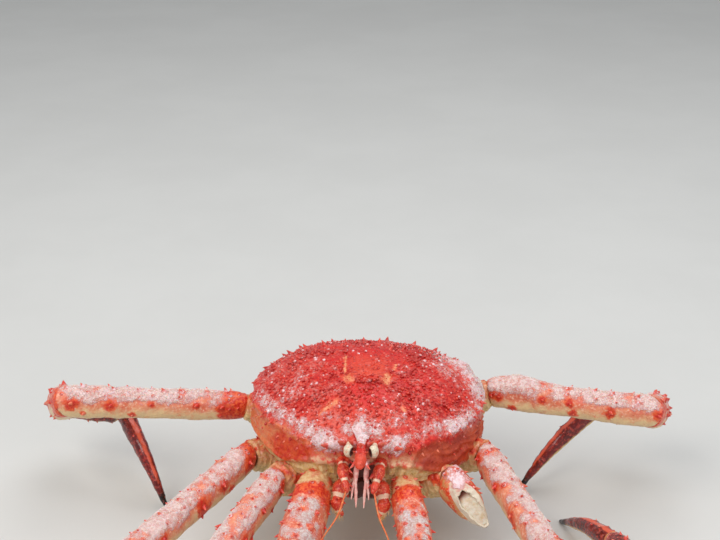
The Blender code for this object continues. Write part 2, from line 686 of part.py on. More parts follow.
def face():
    for side, letter in ((1, "L"), (-1, "R")):
        root, = mirrored([EYE_PLACE], side)
        ball = root + Vector((0, -EYE_REACH, EYE_RISE))
        stalk = sweep([root, ball], (EYE_RADIUS * 0.62,) * 2, sides=8, rings=6)
        eye = sweep([ball - Vector((0, EYE_RADIUS, 0)), ball + Vector((0, EYE_RADIUS, 0))],
                    (EYE_RADIUS,) * 2, sides=10, rings=7, end_power=2.0)
        node("eye_" + letter, eye, EYE_BLACK, 0.15, joined=[stalk], cutters=body_cutters())
        peduncle = sweep(mirrored(ANTENNA_PATH, side), ANTENNA_RADII, sides=8, rings=7)
        whip = sweep(mirrored(FLAGELLUM_PATH, side), FLAGELLUM_RADII, sides=6, rings=12, end_power=8.0)
        node("antenna_" + letter, peduncle, FEELER_ORANGE, 0.5, joined=[whip],
             cutters=body_cutters())
        feeler = sweep(mirrored(ANTENNULE_PATH, side), ANTENNULE_RADII, sides=6, rings=7)
        node("antennule_" + letter, feeler, FEELER_ORANGE, 0.5, cutters=body_cutters())
        mouthpart = sweep(mirrored(MAXILLIPED_PATH, side), MAXILLIPED_RADII, sides=8, rings=9)
        node("maxilliped_" + letter, mouthpart, FEELER_ORANGE, 0.5,
             cutters=body_cutters())


def set_on_origin():
    # moves every piece alike, so that the middle of the whole crab's box stands over the origin
    pieces = bpy.data.collections[COLLECTION].objects
    points = [vert.co for piece in pieces for vert in piece.data.vertices]
    middle_x = (min(point.x for point in points) + max(point.x for point in points)) / 2
    middle_y = (min(point.y for point in points) + max(point.y for point in points)) / 2
    for piece in pieces:
        piece.location = (-middle_x, -middle_y, 0)


def build():
    clear_scene()
    crab = bpy.data.collections.new(COLLECTION)
    bpy.context.scene.collection.children.link(crab)
    chance = random.Random(SPINE_SEED)
    body(chance)
    face()
    claws(chance)
    walking_legs(chance)
    broken_leg(chance)
    set_on_origin()


build()
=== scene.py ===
# The looks of a life-size red king crab: frosted spiny shell, long legs, one leg broken off.
# Metres. Places are first given in the crab's own frame, its middle line at X 0, and shifted at the end.
import math

import bpy
import numpy as np
from mathutils import Matrix, Vector, noise


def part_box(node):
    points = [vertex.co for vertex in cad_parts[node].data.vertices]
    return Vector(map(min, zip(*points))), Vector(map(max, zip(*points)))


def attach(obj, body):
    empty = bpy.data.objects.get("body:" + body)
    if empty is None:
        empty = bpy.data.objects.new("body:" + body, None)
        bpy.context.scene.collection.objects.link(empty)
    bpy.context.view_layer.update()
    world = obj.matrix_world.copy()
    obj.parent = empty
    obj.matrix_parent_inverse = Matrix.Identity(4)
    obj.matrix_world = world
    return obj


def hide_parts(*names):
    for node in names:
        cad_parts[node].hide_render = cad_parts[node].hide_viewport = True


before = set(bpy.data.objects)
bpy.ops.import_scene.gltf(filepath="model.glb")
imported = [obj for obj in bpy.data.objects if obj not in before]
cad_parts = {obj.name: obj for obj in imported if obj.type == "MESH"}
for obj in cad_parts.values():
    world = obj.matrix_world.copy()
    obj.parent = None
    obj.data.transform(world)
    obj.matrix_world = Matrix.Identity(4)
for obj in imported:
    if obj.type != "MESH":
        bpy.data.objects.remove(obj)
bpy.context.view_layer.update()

# the CAD stands the crab's box on the origin, so its own frame is found again from its eyes
eyeFront = -0.0911
leftEye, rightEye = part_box("eye_L"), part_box("eye_R")
crabShift = Vector(((leftEye[1].x + rightEye[0].x) / 2, leftEye[0].y - eyeFront, 0))


# smooth tables and sweeps

def smoothTable(xs, ys, x):
    # values at x of a smooth curve through the points (xs, ys), level beyond its ends
    xs, ys = np.asarray(xs, float), np.asarray(ys, float)
    shape = (-1,) + (1,) * (ys.ndim - 1)
    slopes = np.empty_like(ys)
    slopes[1:-1] = (ys[2:] - ys[:-2]) / (xs[2:] - xs[:-2]).reshape(shape)
    slopes[0] = (ys[1] - ys[0]) / (xs[1] - xs[0])
    slopes[-1] = (ys[-1] - ys[-2]) / (xs[-1] - xs[-2])
    place = np.clip(np.searchsorted(xs, x, "right") - 1, 0, len(xs) - 2)
    span = (xs[place + 1] - xs[place]).reshape(shape)
    u = np.clip((x - xs[place]).reshape(shape) / span, 0, 1)
    return (ys[place] * (1 + 2 * u) * (1 - u) ** 2 + slopes[place] * span * u * (1 - u) ** 2
            + ys[place + 1] * u * u * (3 - 2 * u) + slopes[place + 1] * span * u * u * (u - 1))


def along(values, t):
    return smoothTable(np.linspace(0, 1, len(values)), values, np.asarray(t, float))


def unit(vectors):
    return vectors / np.maximum(np.linalg.norm(vectors, axis=-1, keepdims=True), 1e-12)


def smoothStep(low, high, x):
    u = np.clip((x - low) / (high - low), 0, 1)
    return u * u * (3 - 2 * u)


def roughNoise(points, size, depth=3):
    # uneven values, mostly from -0.5 to 0.5, in patches of about this size
    return np.array([noise.fractal(Vector(p) / size, 1.0, 2.0, depth) for p in points]) * 0.6


def limbShape(points, radii, flatness=0.88, up=(0, 0, 1), runs=(0, 0), widths=None, across=None,
              endPower=5.0, squareness=2.0):
    # everything that says where the skin of a limb's section is
    points = np.array(points, float)
    first, last = unit(points[1] - points[0]), unit(points[-1] - points[-2])
    points[0] -= first * runs[0]
    points[-1] += last * runs[1]
    return dict(points=points, radii=np.array(radii, float), flatness=flatness, up=np.array(up, float),
                widths=widths, across=across, endPower=endPower, squareness=squareness)


def limbPoint(limb, angle, t, lift=0.0):
    # angle 0 is underneath and pi on top, t runs along it
    angle, t = np.broadcast_arrays(np.asarray(angle, float), np.asarray(t, float))
    centre = along(limb["points"], t)
    ahead = unit(along(limb["points"], np.clip(t + 0.01, 0, 1)) - along(limb["points"], np.clip(t - 0.01, 0, 1)))
    if limb["across"] is None:
        side = unit(np.cross(ahead, limb["up"]))
    else:
        side = np.broadcast_to(np.array(limb["across"], float), ahead.shape)
    top = np.cross(side, ahead)
    power = limb["endPower"]
    rounding = np.clip(1 - np.abs(2 * t - 1) ** power, 0, 1) ** (1 / power)
    height = along(limb["radii"], t) + lift
    width = along(limb["widths"], t) + lift if limb["widths"] is not None else height * limb["flatness"]
    square = limb["squareness"]
    bulge = (np.abs(np.sin(angle)) ** square + np.abs(np.cos(angle)) ** square) ** (-1 / square)
    offset = (side * (np.sin(angle) * width * bulge)[..., None]
              - top * (np.cos(angle) * height * bulge)[..., None])
    return centre + offset * rounding[..., None]


def skinNormal(point, inside, angle, t, step=0.01):
    # square to a skin given as a function of angle and t, and the way on along it
    onward = unit(point(angle, t + step) - point(angle, t - step))
    normal = unit(np.cross(onward, point(angle + step, t) - point(angle - step, t)))
    turned = np.sum(normal * (point(angle, t) - inside), axis=-1) < 0
    return np.where(turned[..., None], -normal, normal), onward


# pieces, started as a round ball from Blender's own primitives

def onlySelect(*things):
    bpy.ops.object.select_all(action="DESELECT")
    for thing in things:
        thing.select_set(True)
    bpy.context.view_layer.objects.active = things[0]


def addBall(name, segments, rings):
    bpy.ops.object.select_all(action="DESELECT")
    bpy.ops.mesh.primitive_uv_sphere_add(segments=segments, ring_count=rings, radius=1.0)
    ball = bpy.context.object
    ball.name = ball.data.name = name
    while ball.data.uv_layers:
        ball.data.uv_layers.remove(ball.data.uv_layers[0])
    return ball


def getPoints(piece):
    flat = np.empty(len(piece.data.vertices) * 3, np.float32)
    piece.data.vertices.foreach_get("co", flat)
    return flat.reshape(-1, 3).astype(float)


def setPoints(piece, points):
    piece.data.vertices.foreach_set("co", np.asarray(points, np.float32).ravel())
    piece.data.update()


def getNormals(piece):
    flat = np.empty(len(piece.data.vertices) * 3, np.float32)
    piece.data.vertex_normals.foreach_get("vector", flat)
    return flat.reshape(-1, 3).astype(float)


def setMask(piece, name, values):
    mask = piece.data.attributes.get(name) or piece.data.attributes.new(name, "FLOAT", "POINT")
    mask.data.foreach_set("value", np.broadcast_to(values, len(piece.data.vertices)).astype(np.float32))


def clearMasks(piece, *names):
    for name in names:
        setMask(piece, name, 0.0)


def getMask(piece, name):
    values = np.empty(len(piece.data.vertices), np.float32)
    piece.data.attributes[name].data.foreach_get("value", values)
    return values


def liftSkin(piece, lift):
    setPoints(piece, getPoints(piece) + getNormals(piece) * np.asarray(lift)[:, None])


def ballAngles(piece):
    # the angle round the ball and the share down it of each of its points
    points = getPoints(piece)
    return np.arctan2(points[:, 0], -points[:, 1]), np.arccos(np.clip(points[:, 2], -1, 1)) / math.pi


def fixNormals(piece):
    onlySelect(piece)
    bpy.ops.object.mode_set(mode="EDIT")
    bpy.ops.mesh.select_all(action="SELECT")
    bpy.ops.mesh.normals_make_consistent(inside=False)
    bpy.ops.object.mode_set(mode="OBJECT")


def sweepBall(name, limb, segments=56, rings=64):
    # a ball drawn out along a limb's section; it keeps how far along and how high up each point is
    piece = addBall(name, segments, rings)
    angle, share = ballAngles(piece)
    t = 0.45 * share + 0.55 * (1 - np.cos(math.pi * share)) / 2
    setPoints(piece, limbPoint(limb, angle, t))
    setMask(piece, "along", t)
    setMask(piece, "around", -np.cos(angle))
    setMask(piece, "mapU", 0.5 + angle / (2 * math.pi) * 0.98)
    setMask(piece, "mapV", t)
    fixNormals(piece)
    return piece


def cutEnd(piece, point, normal, lip=0.0018, depth=0.0032, socket=0.0030):
    # cuts a section along a joint, rounds the rim and sinks a socket into the end
    onlySelect(piece)
    bpy.ops.object.mode_set(mode="EDIT")
    for share in (1.0, 0.7, 0.45, 0.25, 0.1, 0.0):
        bpy.ops.mesh.select_all(action="SELECT")
        bpy.ops.mesh.bisect(plane_co=point - normal * depth * share, plane_no=normal, use_fill=share == 0.0,
                            clear_outer=share == 0.0)
    bpy.ops.mesh.select_all(action="DESELECT")
    bpy.ops.object.mode_set(mode="OBJECT")
    points = getPoints(piece)
    near = np.clip(1 + ((points - point) @ normal) / depth, 0, 1)
    rim = points[near > 0.97]
    inward = rim.mean(axis=0) - points
    inward = unit(inward - (inward @ normal)[:, None] * normal)
    setPoints(piece, points + inward * (lip * (1 - np.sqrt(np.clip(1 - near ** 2, 0, 1))))[:, None])
    end = max(piece.data.polygons, key=lambda face: face.area)
    end.select = True
    bpy.ops.object.mode_set(mode="EDIT")
    bpy.ops.mesh.select_mode(type="FACE")
    bpy.ops.mesh.inset(thickness=0.0014, depth=0.0, use_even_offset=False)
    bpy.ops.mesh.inset(thickness=0.0012, depth=-socket, use_even_offset=False)
    bpy.ops.mesh.poke()
    bpy.ops.mesh.select_mode(type="VERT")
    bpy.ops.object.mode_set(mode="OBJECT")


def sliceOff(piece, place, normal, fill=True):
    # takes away what lies beyond a plane
    onlySelect(piece)
    bpy.ops.object.mode_set(mode="EDIT")
    bpy.ops.mesh.select_all(action="SELECT")
    bpy.ops.mesh.bisect(plane_co=place, plane_no=normal, use_fill=fill, clear_outer=True)
    bpy.ops.object.mode_set(mode="OBJECT")


def smoothShade(piece, degrees=50):
    onlySelect(piece)
    bpy.ops.object.shade_smooth_by_angle(angle=math.radians(degrees))


def joinedMesh(name, points, triangles, masks, patches=None):
    # one object from arrays: its points, its triangles, a value for each point under each mask's name
    mesh = bpy.data.meshes.new(name)
    mesh.vertices.add(len(points))
    mesh.vertices.foreach_set("co", np.asarray(points, np.float32).ravel())
    mesh.loops.add(triangles.size)
    mesh.loops.foreach_set("vertex_index", triangles.ravel().astype(np.int32))
    mesh.polygons.add(len(triangles))
    mesh.polygons.foreach_set("loop_start", np.arange(0, triangles.size, 3, dtype=np.int32))
    mesh.update(calc_edges=True)
    mesh.validate()
    piece = bpy.data.objects.new(name, mesh)
    bpy.context.scene.collection.objects.link(piece)
    for mask, values in masks.items():
        setMask(piece, mask, values)
    if patches is not None:
        layer = mesh.uv_layers.new(name="OFBake")
        layer.data.foreach_set("uv", patches[triangles.ravel()].astype(np.float32).ravel())
    return piece


def copiesOf(pattern, roots, normals, onwards, widths, heights, chance, bend=0.0):
    # every copy of a small pattern: its points, triangles, height share and number
    points, triangles = pattern
    across = unit(np.cross(normals, onwards))
    ahead = np.cross(across, normals)
    spin = chance.uniform(0, 2 * math.pi, len(roots))[:, None]
    first = across * np.cos(spin) + ahead * np.sin(spin)
    second = np.cross(normals, first)
    x, y, z = points[:, 0][None, :, None], points[:, 1][None, :, None], points[:, 2][None, :, None]
    placed = (roots[:, None] + (first[:, None] * x + second[:, None] * y) * widths[:, None, None]
              + normals[:, None] * z * heights[:, None, None]
              + onwards[:, None] * (bend * np.clip(z, 0, 1) ** 2) * heights[:, None, None])
    count = len(points)
    stacked = triangles[None] + (np.arange(len(roots)) * count)[:, None, None]
    return (placed.reshape(-1, 3), stacked.reshape(-1, 3), np.tile(points[:, 2], len(roots)),
            np.repeat(np.arange(len(roots)), count), np.tile(points[:, :2], (len(roots), 1)))


def spinePattern(segments, rings, blunt=False):
    # a pointed cone with a flared foot, one high, from a ball, or a rounded knob
    ball = addBall("pattern", segments, rings)
    points = getPoints(ball)
    height = (points[:, 2] + 1) / 2
    reach = np.hypot(points[:, 0], points[:, 1])
    shape = np.sqrt(1 - height ** 2.4) if blunt else (1 - height) ** 0.72 + 0.30 * (1 - height) ** 6
    points[:, :2] *= (shape / np.maximum(reach, 1e-6))[:, None] * (reach > 1e-3)[:, None]
    points[:, 2] = height
    triangles = []
    for face in ball.data.polygons:
        corners = list(face.vertices)
        triangles += [[corners[0], b, c] for b, c in zip(corners[1:], corners[2:])]
    bpy.data.objects.remove(ball)
    return points, np.array(triangles)


# shader groups

def rgb(red, green, blue):
    # a colour as it shows on screen, 0 to 255, as Blender's own linear values
    screen = np.array((red, green, blue)) / 255
    return (*np.where(screen <= 0.04045, screen / 12.92, ((screen + 0.055) / 1.055) ** 2.4), 1.0)


def addNode(tree, kind, inputs=(), **settings):
    node = tree.nodes.new("ShaderNode" + kind)
    for name, value in settings.items():
        setattr(node, name, value)
    for name, value in dict(inputs).items():
        plug(tree, value, node.inputs[name])
    return node


def plug(tree, value, socket):
    if isinstance(value, bpy.types.NodeSocket):
        tree.links.new(value, socket)
    else:
        socket.default_value = value


def mixColour(tree, factor, first, second):
    node = addNode(tree, "Mix", data_type="RGBA")
    for socket, value in ((0, factor), (6, first), (7, second)):
        plug(tree, value, node.inputs[socket])
    return node.outputs[2]


def maths(tree, operation, first, second=0.0, third=0.0):
    node = addNode(tree, "Math", operation=operation)
    for socket, value in enumerate((first, second, third)):
        plug(tree, value, node.inputs[socket])
    return node.outputs[0]


def unevenBy(tree, noiseValue, strength, value):
    # a value with noise about its middle added to it
    return maths(tree, "MULTIPLY_ADD", maths(tree, "SUBTRACT", noiseValue, 0.5), strength, value)


def maskBetween(tree, value, low, high):
    node = addNode(tree, "MapRange", interpolation_type="SMOOTHSTEP",
                   inputs={"Value": value, "From Min": low, "From Max": high})
    return node.outputs["Result"]


def noiseOf(tree, place, scale, detail=3.0, roughness=0.55):
    node = addNode(tree, "TexNoise", inputs={"Vector": place, "Scale": scale, "Detail": detail,
                                             "Roughness": roughness})
    return node.outputs["Fac"]


def cellsOf(tree, place, scale):
    node = addNode(tree, "TexVoronoi", inputs={"Vector": place, "Scale": scale})
    return node.outputs["Distance"]


def newGroup(name, inputs, outputs):
    group = bpy.data.node_groups.new(name, "ShaderNodeTree")
    for title, kind, value in inputs:
        socket = group.interface.new_socket(name=title, in_out="INPUT", socket_type="NodeSocket" + kind)
        socket.default_value = value
    for title, kind in outputs:
        group.interface.new_socket(name=title, in_out="OUTPUT", socket_type="NodeSocket" + kind)
    return group, group.nodes.new("NodeGroupInput").outputs, group.nodes.new("NodeGroupOutput").inputs


def shellGrainGroup():
    # red shell: broad patches, small dark and light dots, fine pits
    group, given, out = newGroup(
        "shellGrain",
        (("Base", "Color", (0.5, 0.05, 0.03, 1)), ("Deep", "Color", (0.3, 0.01, 0.01, 1)),
         ("Bright", "Color", (0.8, 0.2, 0.1, 1)), ("Size", "Float", 1.0), ("Dots", "Float", 0.5)),
        (("Color", "Color"), ("Height", "Float")))
    place = addNode(group, "TexCoord").outputs["Object"]
    scaled = addNode(group, "VectorMath", operation="SCALE", inputs={0: place, "Scale": given["Size"]})
    place = scaled.outputs["Vector"]
    patches = maskBetween(group, noiseOf(group, place, 60, 4), 0.38, 0.66)
    fine = noiseOf(group, place, 420, 4, 0.6)
    cells = cellsOf(group, place, 330)
    dots = maths(group, "MULTIPLY", maskBetween(group, cells, 0.42, 0.16), given["Dots"])
    colour = mixColour(group, maths(group, "MULTIPLY", patches, 0.7), given["Base"], given["Deep"])
    colour = mixColour(group, maskBetween(group, fine, 0.47, 0.68), colour, given["Bright"])
    colour = mixColour(group, dots, colour, given["Deep"])
    plug(group, colour, out["Color"])
    plug(group, maths(group, "ADD", maths(group, "MULTIPLY", fine, 0.6), dots), out["Height"])
    return group


def frostGroup():
    # frost over a shell: uneven at its edges, with the shell showing through in specks
    group, given, out = newGroup(
        "frostCover",
        (("Shell", "Color", (0.5, 0.05, 0.03, 1)), ("Frost", "Color", (0.8, 0.7, 0.72, 1)),
         ("Blush", "Color", (0.75, 0.25, 0.25, 1)), ("Amount", "Float", 0.0)),
        (("Color", "Color"), ("Cover", "Float"), ("Height", "Float")))
    place = addNode(group, "TexCoord").outputs["Object"]
    broad = noiseOf(group, place, 110, 4, 0.6)
    middle = noiseOf(group, place, 300, 3, 0.6)
    fine = noiseOf(group, place, 620, 4, 0.65)
    grains = cellsOf(group, place, 900)
    uneven = maths(group, "MULTIPLY_ADD", maths(group, "SUBTRACT", broad, 0.5), 1.0,
                   maths(group, "MULTIPLY", maths(group, "SUBTRACT", fine, 0.5), 0.9))
    uneven = unevenBy(group, middle, 1.3, uneven)
    level = maths(group, "ADD", given["Amount"], uneven)
    cover = maskBetween(group, level, 0.38, 0.88)
    thin = maskBetween(group, level, 0.10, 0.58)
    thick = maskBetween(group, level, 0.60, 1.15)
    colour = mixColour(group, maths(group, "MULTIPLY", thin, 0.65), given["Shell"], given["Blush"])
    pinkFrost = mixColour(group, 0.40, given["Frost"], given["Blush"])
    whiteness = unevenBy(group, middle, 2.2, thick)
    whiteness = unevenBy(group, fine, 1.6, whiteness)
    white = mixColour(group, maskBetween(group, whiteness, 0.15, 0.85), pinkFrost, given["Frost"])
    mauve = maths(group, "MULTIPLY", maskBetween(group, broad, 0.48, 0.70), 0.40)
    white = mixColour(group, mauve, white, rgb(216, 160, 168))
    white = mixColour(group, maths(group, "MULTIPLY", maskBetween(group, grains, 0.0, 0.7), 0.16), white,
                      (0.52, 0.38, 0.42, 1))
    colour = mixColour(group, cover, colour, white)
    plug(group, colour, out["Color"])
    plug(group, cover, out["Cover"])
    grainHeight = maths(group, "SUBTRACT", 1.0, grains)
    height = maths(group, "MULTIPLY", cover, maths(group, "MULTIPLY_ADD", grainHeight, 0.7, fine))
    plug(group, height, out["Height"])
    return group


shellGrain, frostCover = shellGrainGroup(), frostGroup()


def useGroup(tree, group, **inputs):
    node = tree.nodes.new("ShaderNodeGroup")
    node.node_tree = group
    for name, value in inputs.items():
        plug(tree, value, node.inputs[name])
    return node.outputs


def newMaterial(name):
    material = bpy.data.materials.new(name)
    material.use_nodes = True
    return material, material.node_tree, material.node_tree.nodes["Principled BSDF"]


def maskOf(tree, name):
    return addNode(tree, "Attribute", attribute_name=name).outputs["Fac"]


def addBump(tree, shader, height, distance):
    bump = addNode(tree, "Bump", inputs={"Height": height, "Distance": distance, "Strength": 1.0})
    tree.links.new(bump.outputs["Normal"], shader.inputs["Normal"])


# materials

colours = dict(
    red=rgb(204, 28, 20), deep=rgb(158, 10, 14), bright=rgb(222, 68, 48), orange=rgb(222, 74, 38),
    tan=rgb(206, 150, 96), cream=rgb(232, 202, 150), frost=rgb(250, 226, 228), limbFrost=rgb(247, 220, 212),
    blush=rgb(222, 112, 98), darkRed=rgb(118, 22, 20), darkest=rgb(62, 10, 12), horn=rgb(24, 16, 16),
    flesh=rgb(214, 202, 180), wallRed=rgb(204, 56, 34))


def finishShell(tree, shader, colour, height, roughness, bumpDistance, coat, frosted=True, ice="frost"):
    # frost over a finished shell colour, and the shine and bumps of both
    shader.inputs["Specular IOR Level"].default_value = 0.32
    shader.inputs["Coat Roughness"].default_value = 0.22
    if frosted:
        frost = useGroup(tree, frostCover, Shell=colour, Frost=colours[ice], Blush=colours["blush"],
                         Amount=maskOf(tree, "frost"))
        colour, cover = frost["Color"], frost["Cover"]
        height = maths(tree, "MULTIPLY_ADD", frost["Height"], 1.0, height)
        plug(tree, maths(tree, "MULTIPLY_ADD", cover, 0.75 - roughness, roughness), shader.inputs["Roughness"])
        plug(tree, maths(tree, "MULTIPLY_ADD", cover, -coat, coat), shader.inputs["Coat Weight"])
    else:
        shader.inputs["Roughness"].default_value = roughness
        shader.inputs["Coat Weight"].default_value = coat
    plug(tree, colour, shader.inputs["Base Color"])
    addBump(tree, shader, height, bumpDistance)


def carapaceMaterial():
    material, tree, shader = newMaterial("carapaceShell")
    grain = useGroup(tree, shellGrain, Base=colours["red"], Deep=colours["deep"], Bright=colours["bright"],
                     Size=1.0, Dots=0.5)
    place = addNode(tree, "TexCoord").outputs["Object"]
    smallNoise = noiseOf(tree, place, 260, 4, 0.6)
    colour = mixColour(tree, maths(tree, "MULTIPLY", maskOf(tree, "orange"), 0.62), grain["Color"],
                       mixColour(tree, maskBetween(tree, smallNoise, 0.38, 0.62), colours["orange"], rgb(226, 90, 62)))
    colour = mixColour(tree, maths(tree, "MULTIPLY", maskOf(tree, "vivid"), 0.75), colour, rgb(206, 18, 12))
    wide = noiseOf(tree, place, 70, 4, 0.6)
    wall = mixColour(tree, maskBetween(tree, smallNoise, 0.36, 0.66), rgb(216, 102, 58), rgb(214, 132, 84))
    ember = unevenBy(tree, wide, 0.9, maskOf(tree, "ember"))
    wall = mixColour(tree, maskBetween(tree, ember, 0.16, 0.62), wall,
                     mixColour(tree, maskBetween(tree, smallNoise, 0.35, 0.62), rgb(192, 40, 18), rgb(206, 76, 34)))
    # painted shade: darker brown-red where the left wall lies in shadow
    wall = mixColour(tree, maskOf(tree, "wallShade"), wall, mixColour(tree, maskBetween(tree, wide, 0.35, 0.62),
                                                                 rgb(158, 44, 24), rgb(194, 80, 46)))
    colour = mixColour(tree, maskOf(tree, "wall"), colour, wall)
    folds = mixColour(tree, maskBetween(tree, smallNoise, 0.44, 0.62), rgb(222, 176, 138), rgb(216, 96, 76))
    colour = mixColour(tree, maskOf(tree, "face"), colour, folds)
    lowEdge = mixColour(tree, maskBetween(tree, smallNoise, 0.44, 0.60), rgb(222, 192, 140), rgb(204, 168, 100))
    lowEdge = mixColour(tree, maskBetween(tree, wide, 0.54, 0.70), lowEdge, rgb(218, 122, 76))
    colour = mixColour(tree, maskOf(tree, "margin"), colour, lowEdge)
    groove = maths(tree, "MULTIPLY", maskOf(tree, "groove"), 0.45)
    colour = mixColour(tree, groove, colour, colours["deep"])
    creamNoise = unevenBy(tree, smallNoise, 1.7, maskOf(tree, "cream"))
    colour = mixColour(tree, maths(tree, "MULTIPLY", maskBetween(tree, creamNoise, 0.10, 0.70), 0.55), colour,
                       rgb(230, 96, 60))
    colour = mixColour(tree, maths(tree, "MULTIPLY", maskBetween(tree, creamNoise, 0.50, 1.15), 0.85), colour,
                       rgb(236, 170, 122))
    # painted shade: dark brown where the mouth's hollow under the front of the shell lies in shadow
    colour = mixColour(tree, maskOf(tree, "shadedHollow"), colour, rgb(84, 34, 24))
    finishShell(tree, shader, colour, grain["Height"], 0.40, 0.0007, 0.16)
    return material


def legMaterial(name, upper, under, deep):
    # pink above, pale underneath, with red blotches round the spines and a warm root
    material, tree, shader = newMaterial(name)
    grain = useGroup(tree, shellGrain, Base=upper, Deep=deep, Bright=rgb(240, 188, 160), Size=1.0, Dots=0.35)
    place = addNode(tree, "TexCoord").outputs["Object"]
    wander = noiseOf(tree, place, 130, 4, 0.6)
    paleNoise = noiseOf(tree, place, 380, 4, 0.6)
    pale = mixColour(tree, maskBetween(tree, paleNoise, 0.35, 0.65), under, colours["cream"])
    pale = mixColour(tree, maskBetween(tree, wander, 0.56, 0.76), pale, rgb(228, 134, 88))
    above = unevenBy(tree, wander, 1.4, maskOf(tree, "around"))
    colour = mixColour(tree, maskBetween(tree, above, -0.50, 0.30), pale, grain["Color"])
    red = mixColour(tree, maskBetween(tree, paleNoise, 0.38, 0.64), rgb(202, 40, 28), rgb(232, 104, 56))
    warm = unevenBy(tree, wander, 1.4, maskOf(tree, "warm"))
    colour = mixColour(tree, maskBetween(tree, warm, 0.38, 0.72), colour, red)
    spotNoise = unevenBy(tree, wander, 1.2, maskOf(tree, "spots"))
    spotNoise = unevenBy(tree, paleNoise, 0.9, spotNoise)
    colour = mixColour(tree, maskBetween(tree, spotNoise, 0.24, 0.66), colour, red)
    colour = mixColour(tree, maths(tree, "MULTIPLY", maskBetween(tree, spotNoise, 0.66, 1.05), 0.6), colour,
                       rgb(170, 20, 24))
    finishShell(tree, shader, colour, grain["Height"], 0.38, 0.0006, 0.15, ice="limbFrost")
    return material


def darkMaterial():
    material, tree, shader = newMaterial("darkLegShell")
    grain = useGroup(tree, shellGrain, Base=colours["darkRed"], Deep=colours["darkest"],
                     Bright=rgb(176, 52, 40), Size=0.8, Dots=0.25)
    place = addNode(tree, "TexCoord").outputs["Object"]
    wander = noiseOf(tree, place, 110, 4, 0.6)
    above = unevenBy(tree, wander, 0.7, maskOf(tree, "around"))
    colour = mixColour(tree, maskBetween(tree, above, -0.95, -0.60), rgb(224, 186, 122), grain["Color"])
    # painted highlight: a lighter orange-red along the top ridge, where the light catches it
    ridgeHighlight = maskBetween(tree, unevenBy(tree, wander, 1.2, maskOf(tree, "ridgeHighlight")), 0.25, 0.85)
    colour = mixColour(tree, ridgeHighlight, colour, rgb(216, 88, 60))
    colour = mixColour(tree, maskOf(tree, "horn"), colour, colours["horn"])
    finishShell(tree, shader, colour, grain["Height"], 0.26, 0.0003, 0.45)
    return material


def spineMaterial(name, foot, middle, tip):
    # some dark, some orange and some pale, lighter at their tips
    material, tree, shader = newMaterial(name)
    height, tint = maskOf(tree, "height"), maskOf(tree, "tint")
    body = mixColour(tree, maskBetween(tree, tint, 0.22, 0.50), foot, middle)
    body = mixColour(tree, maskBetween(tree, tint, 0.80, 0.92), body, tip)
    colour = mixColour(tree, maths(tree, "MULTIPLY", maskBetween(tree, height, 0.55, 0.95), 0.7), body, tip)
    place = addNode(tree, "TexCoord").outputs["Object"]
    finishShell(tree, shader, colour, noiseOf(tree, place, 900, 3), 0.34, 0.0002, 0.35)
    return material


def plainMaterial(name, first, second, size, roughness, bumpDistance=0.0004, coat=0.1, softness=0.0, shadedHollow=None):
    # two colours in uneven patches, and a third, painted shade, where a hollow lies in shadow
    material, tree, shader = newMaterial(name)
    place = addNode(tree, "TexCoord").outputs["Object"]
    patches = noiseOf(tree, place, size, 5, 0.6)
    colour = mixColour(tree, maskBetween(tree, patches, 0.36, 0.66), first, second)
    if shadedHollow:
        colour = mixColour(tree, maskOf(tree, "shadedHollow"), colour, shadedHollow)
    fine = noiseOf(tree, place, size * 5, 4, 0.6)
    shader.inputs["Subsurface Weight"].default_value = softness
    shader.inputs["Subsurface Scale"].default_value = 0.002
    finishShell(tree, shader, colour, maths(tree, "ADD", patches, maths(tree, "MULTIPLY", fine, 0.5)),
                roughness, bumpDistance, coat, frosted=False)
    return material


materials = dict(
    carapace=carapaceMaterial(),
    leg=legMaterial("legShell", rgb(226, 142, 108), rgb(224, 194, 148), rgb(214, 92, 62)),
    claw=legMaterial("clawShell", rgb(222, 122, 88), rgb(214, 164, 112), rgb(204, 72, 48)),
    root=legMaterial("legRootShell", rgb(214, 172, 118), rgb(202, 176, 116), rgb(212, 130, 82)),
    dark=darkMaterial(),
    spine=spineMaterial("spineShell", rgb(176, 18, 18), rgb(210, 54, 38), rgb(230, 122, 92)),
    membrane=plainMaterial("jointSkin", rgb(206, 138, 88), rgb(190, 92, 60), 240, 0.6, 0.0005),
    # its third colour is painted shadow in the flesh's hollow
    flesh=plainMaterial("brokenFlesh", rgb(216, 206, 188), rgb(202, 178, 144), 260, 0.5, 0.0006, 0.2, 0.15,
                        rgb(138, 72, 52)),
    pale=plainMaterial("paleFeeler", rgb(226, 150, 140), rgb(236, 196, 184), 300, 0.45, 0.0003, 0.2),
    feeler=plainMaterial("feelerShell", rgb(214, 92, 50), rgb(230, 140, 84), 400, 0.4, 0.0002, 0.2),
    crystal=plainMaterial("frostCrystals", rgb(252, 234, 230), rgb(230, 180, 168), 520, 0.30, 0.0001, 0.3, 0.3),
    bristle=plainMaterial("bristle", rgb(232, 204, 150), rgb(206, 160, 96), 200, 0.6, 0.0001),
    # its third colour is painted shade in the mouth's hollow
    under=plainMaterial("underShell", rgb(226, 194, 146), rgb(222, 148, 100), 90, 0.45, 0.0006, 0.2, 0.0,
                        rgb(84, 36, 24)),
    floor=plainMaterial("paleFloor", rgb(205, 204, 200), rgb(208, 207, 203), 4, 0.8, 0.0001, 0.0))


# pieces and spines are put in place by one function

def putPiece(piece, material, node=None):
    # shifts a finished piece to the CAD's frame, gives it its material and hides the CAD part it takes the place of
    points = getPoints(piece)
    points[:, 2] = np.maximum(points[:, 2], 0.0)
    setPoints(piece, points)
    piece.data.transform(Matrix.Translation(crabShift))
    piece.data.materials.clear()
    piece.data.materials.append(material)
    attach(piece, "root")
    if node:
        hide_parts(node)
    return piece


chance = np.random.default_rng(7)
smallSpine, bigSpine, knob = spinePattern(6, 4), spinePattern(8, 7), spinePattern(7, 6, blunt=True)


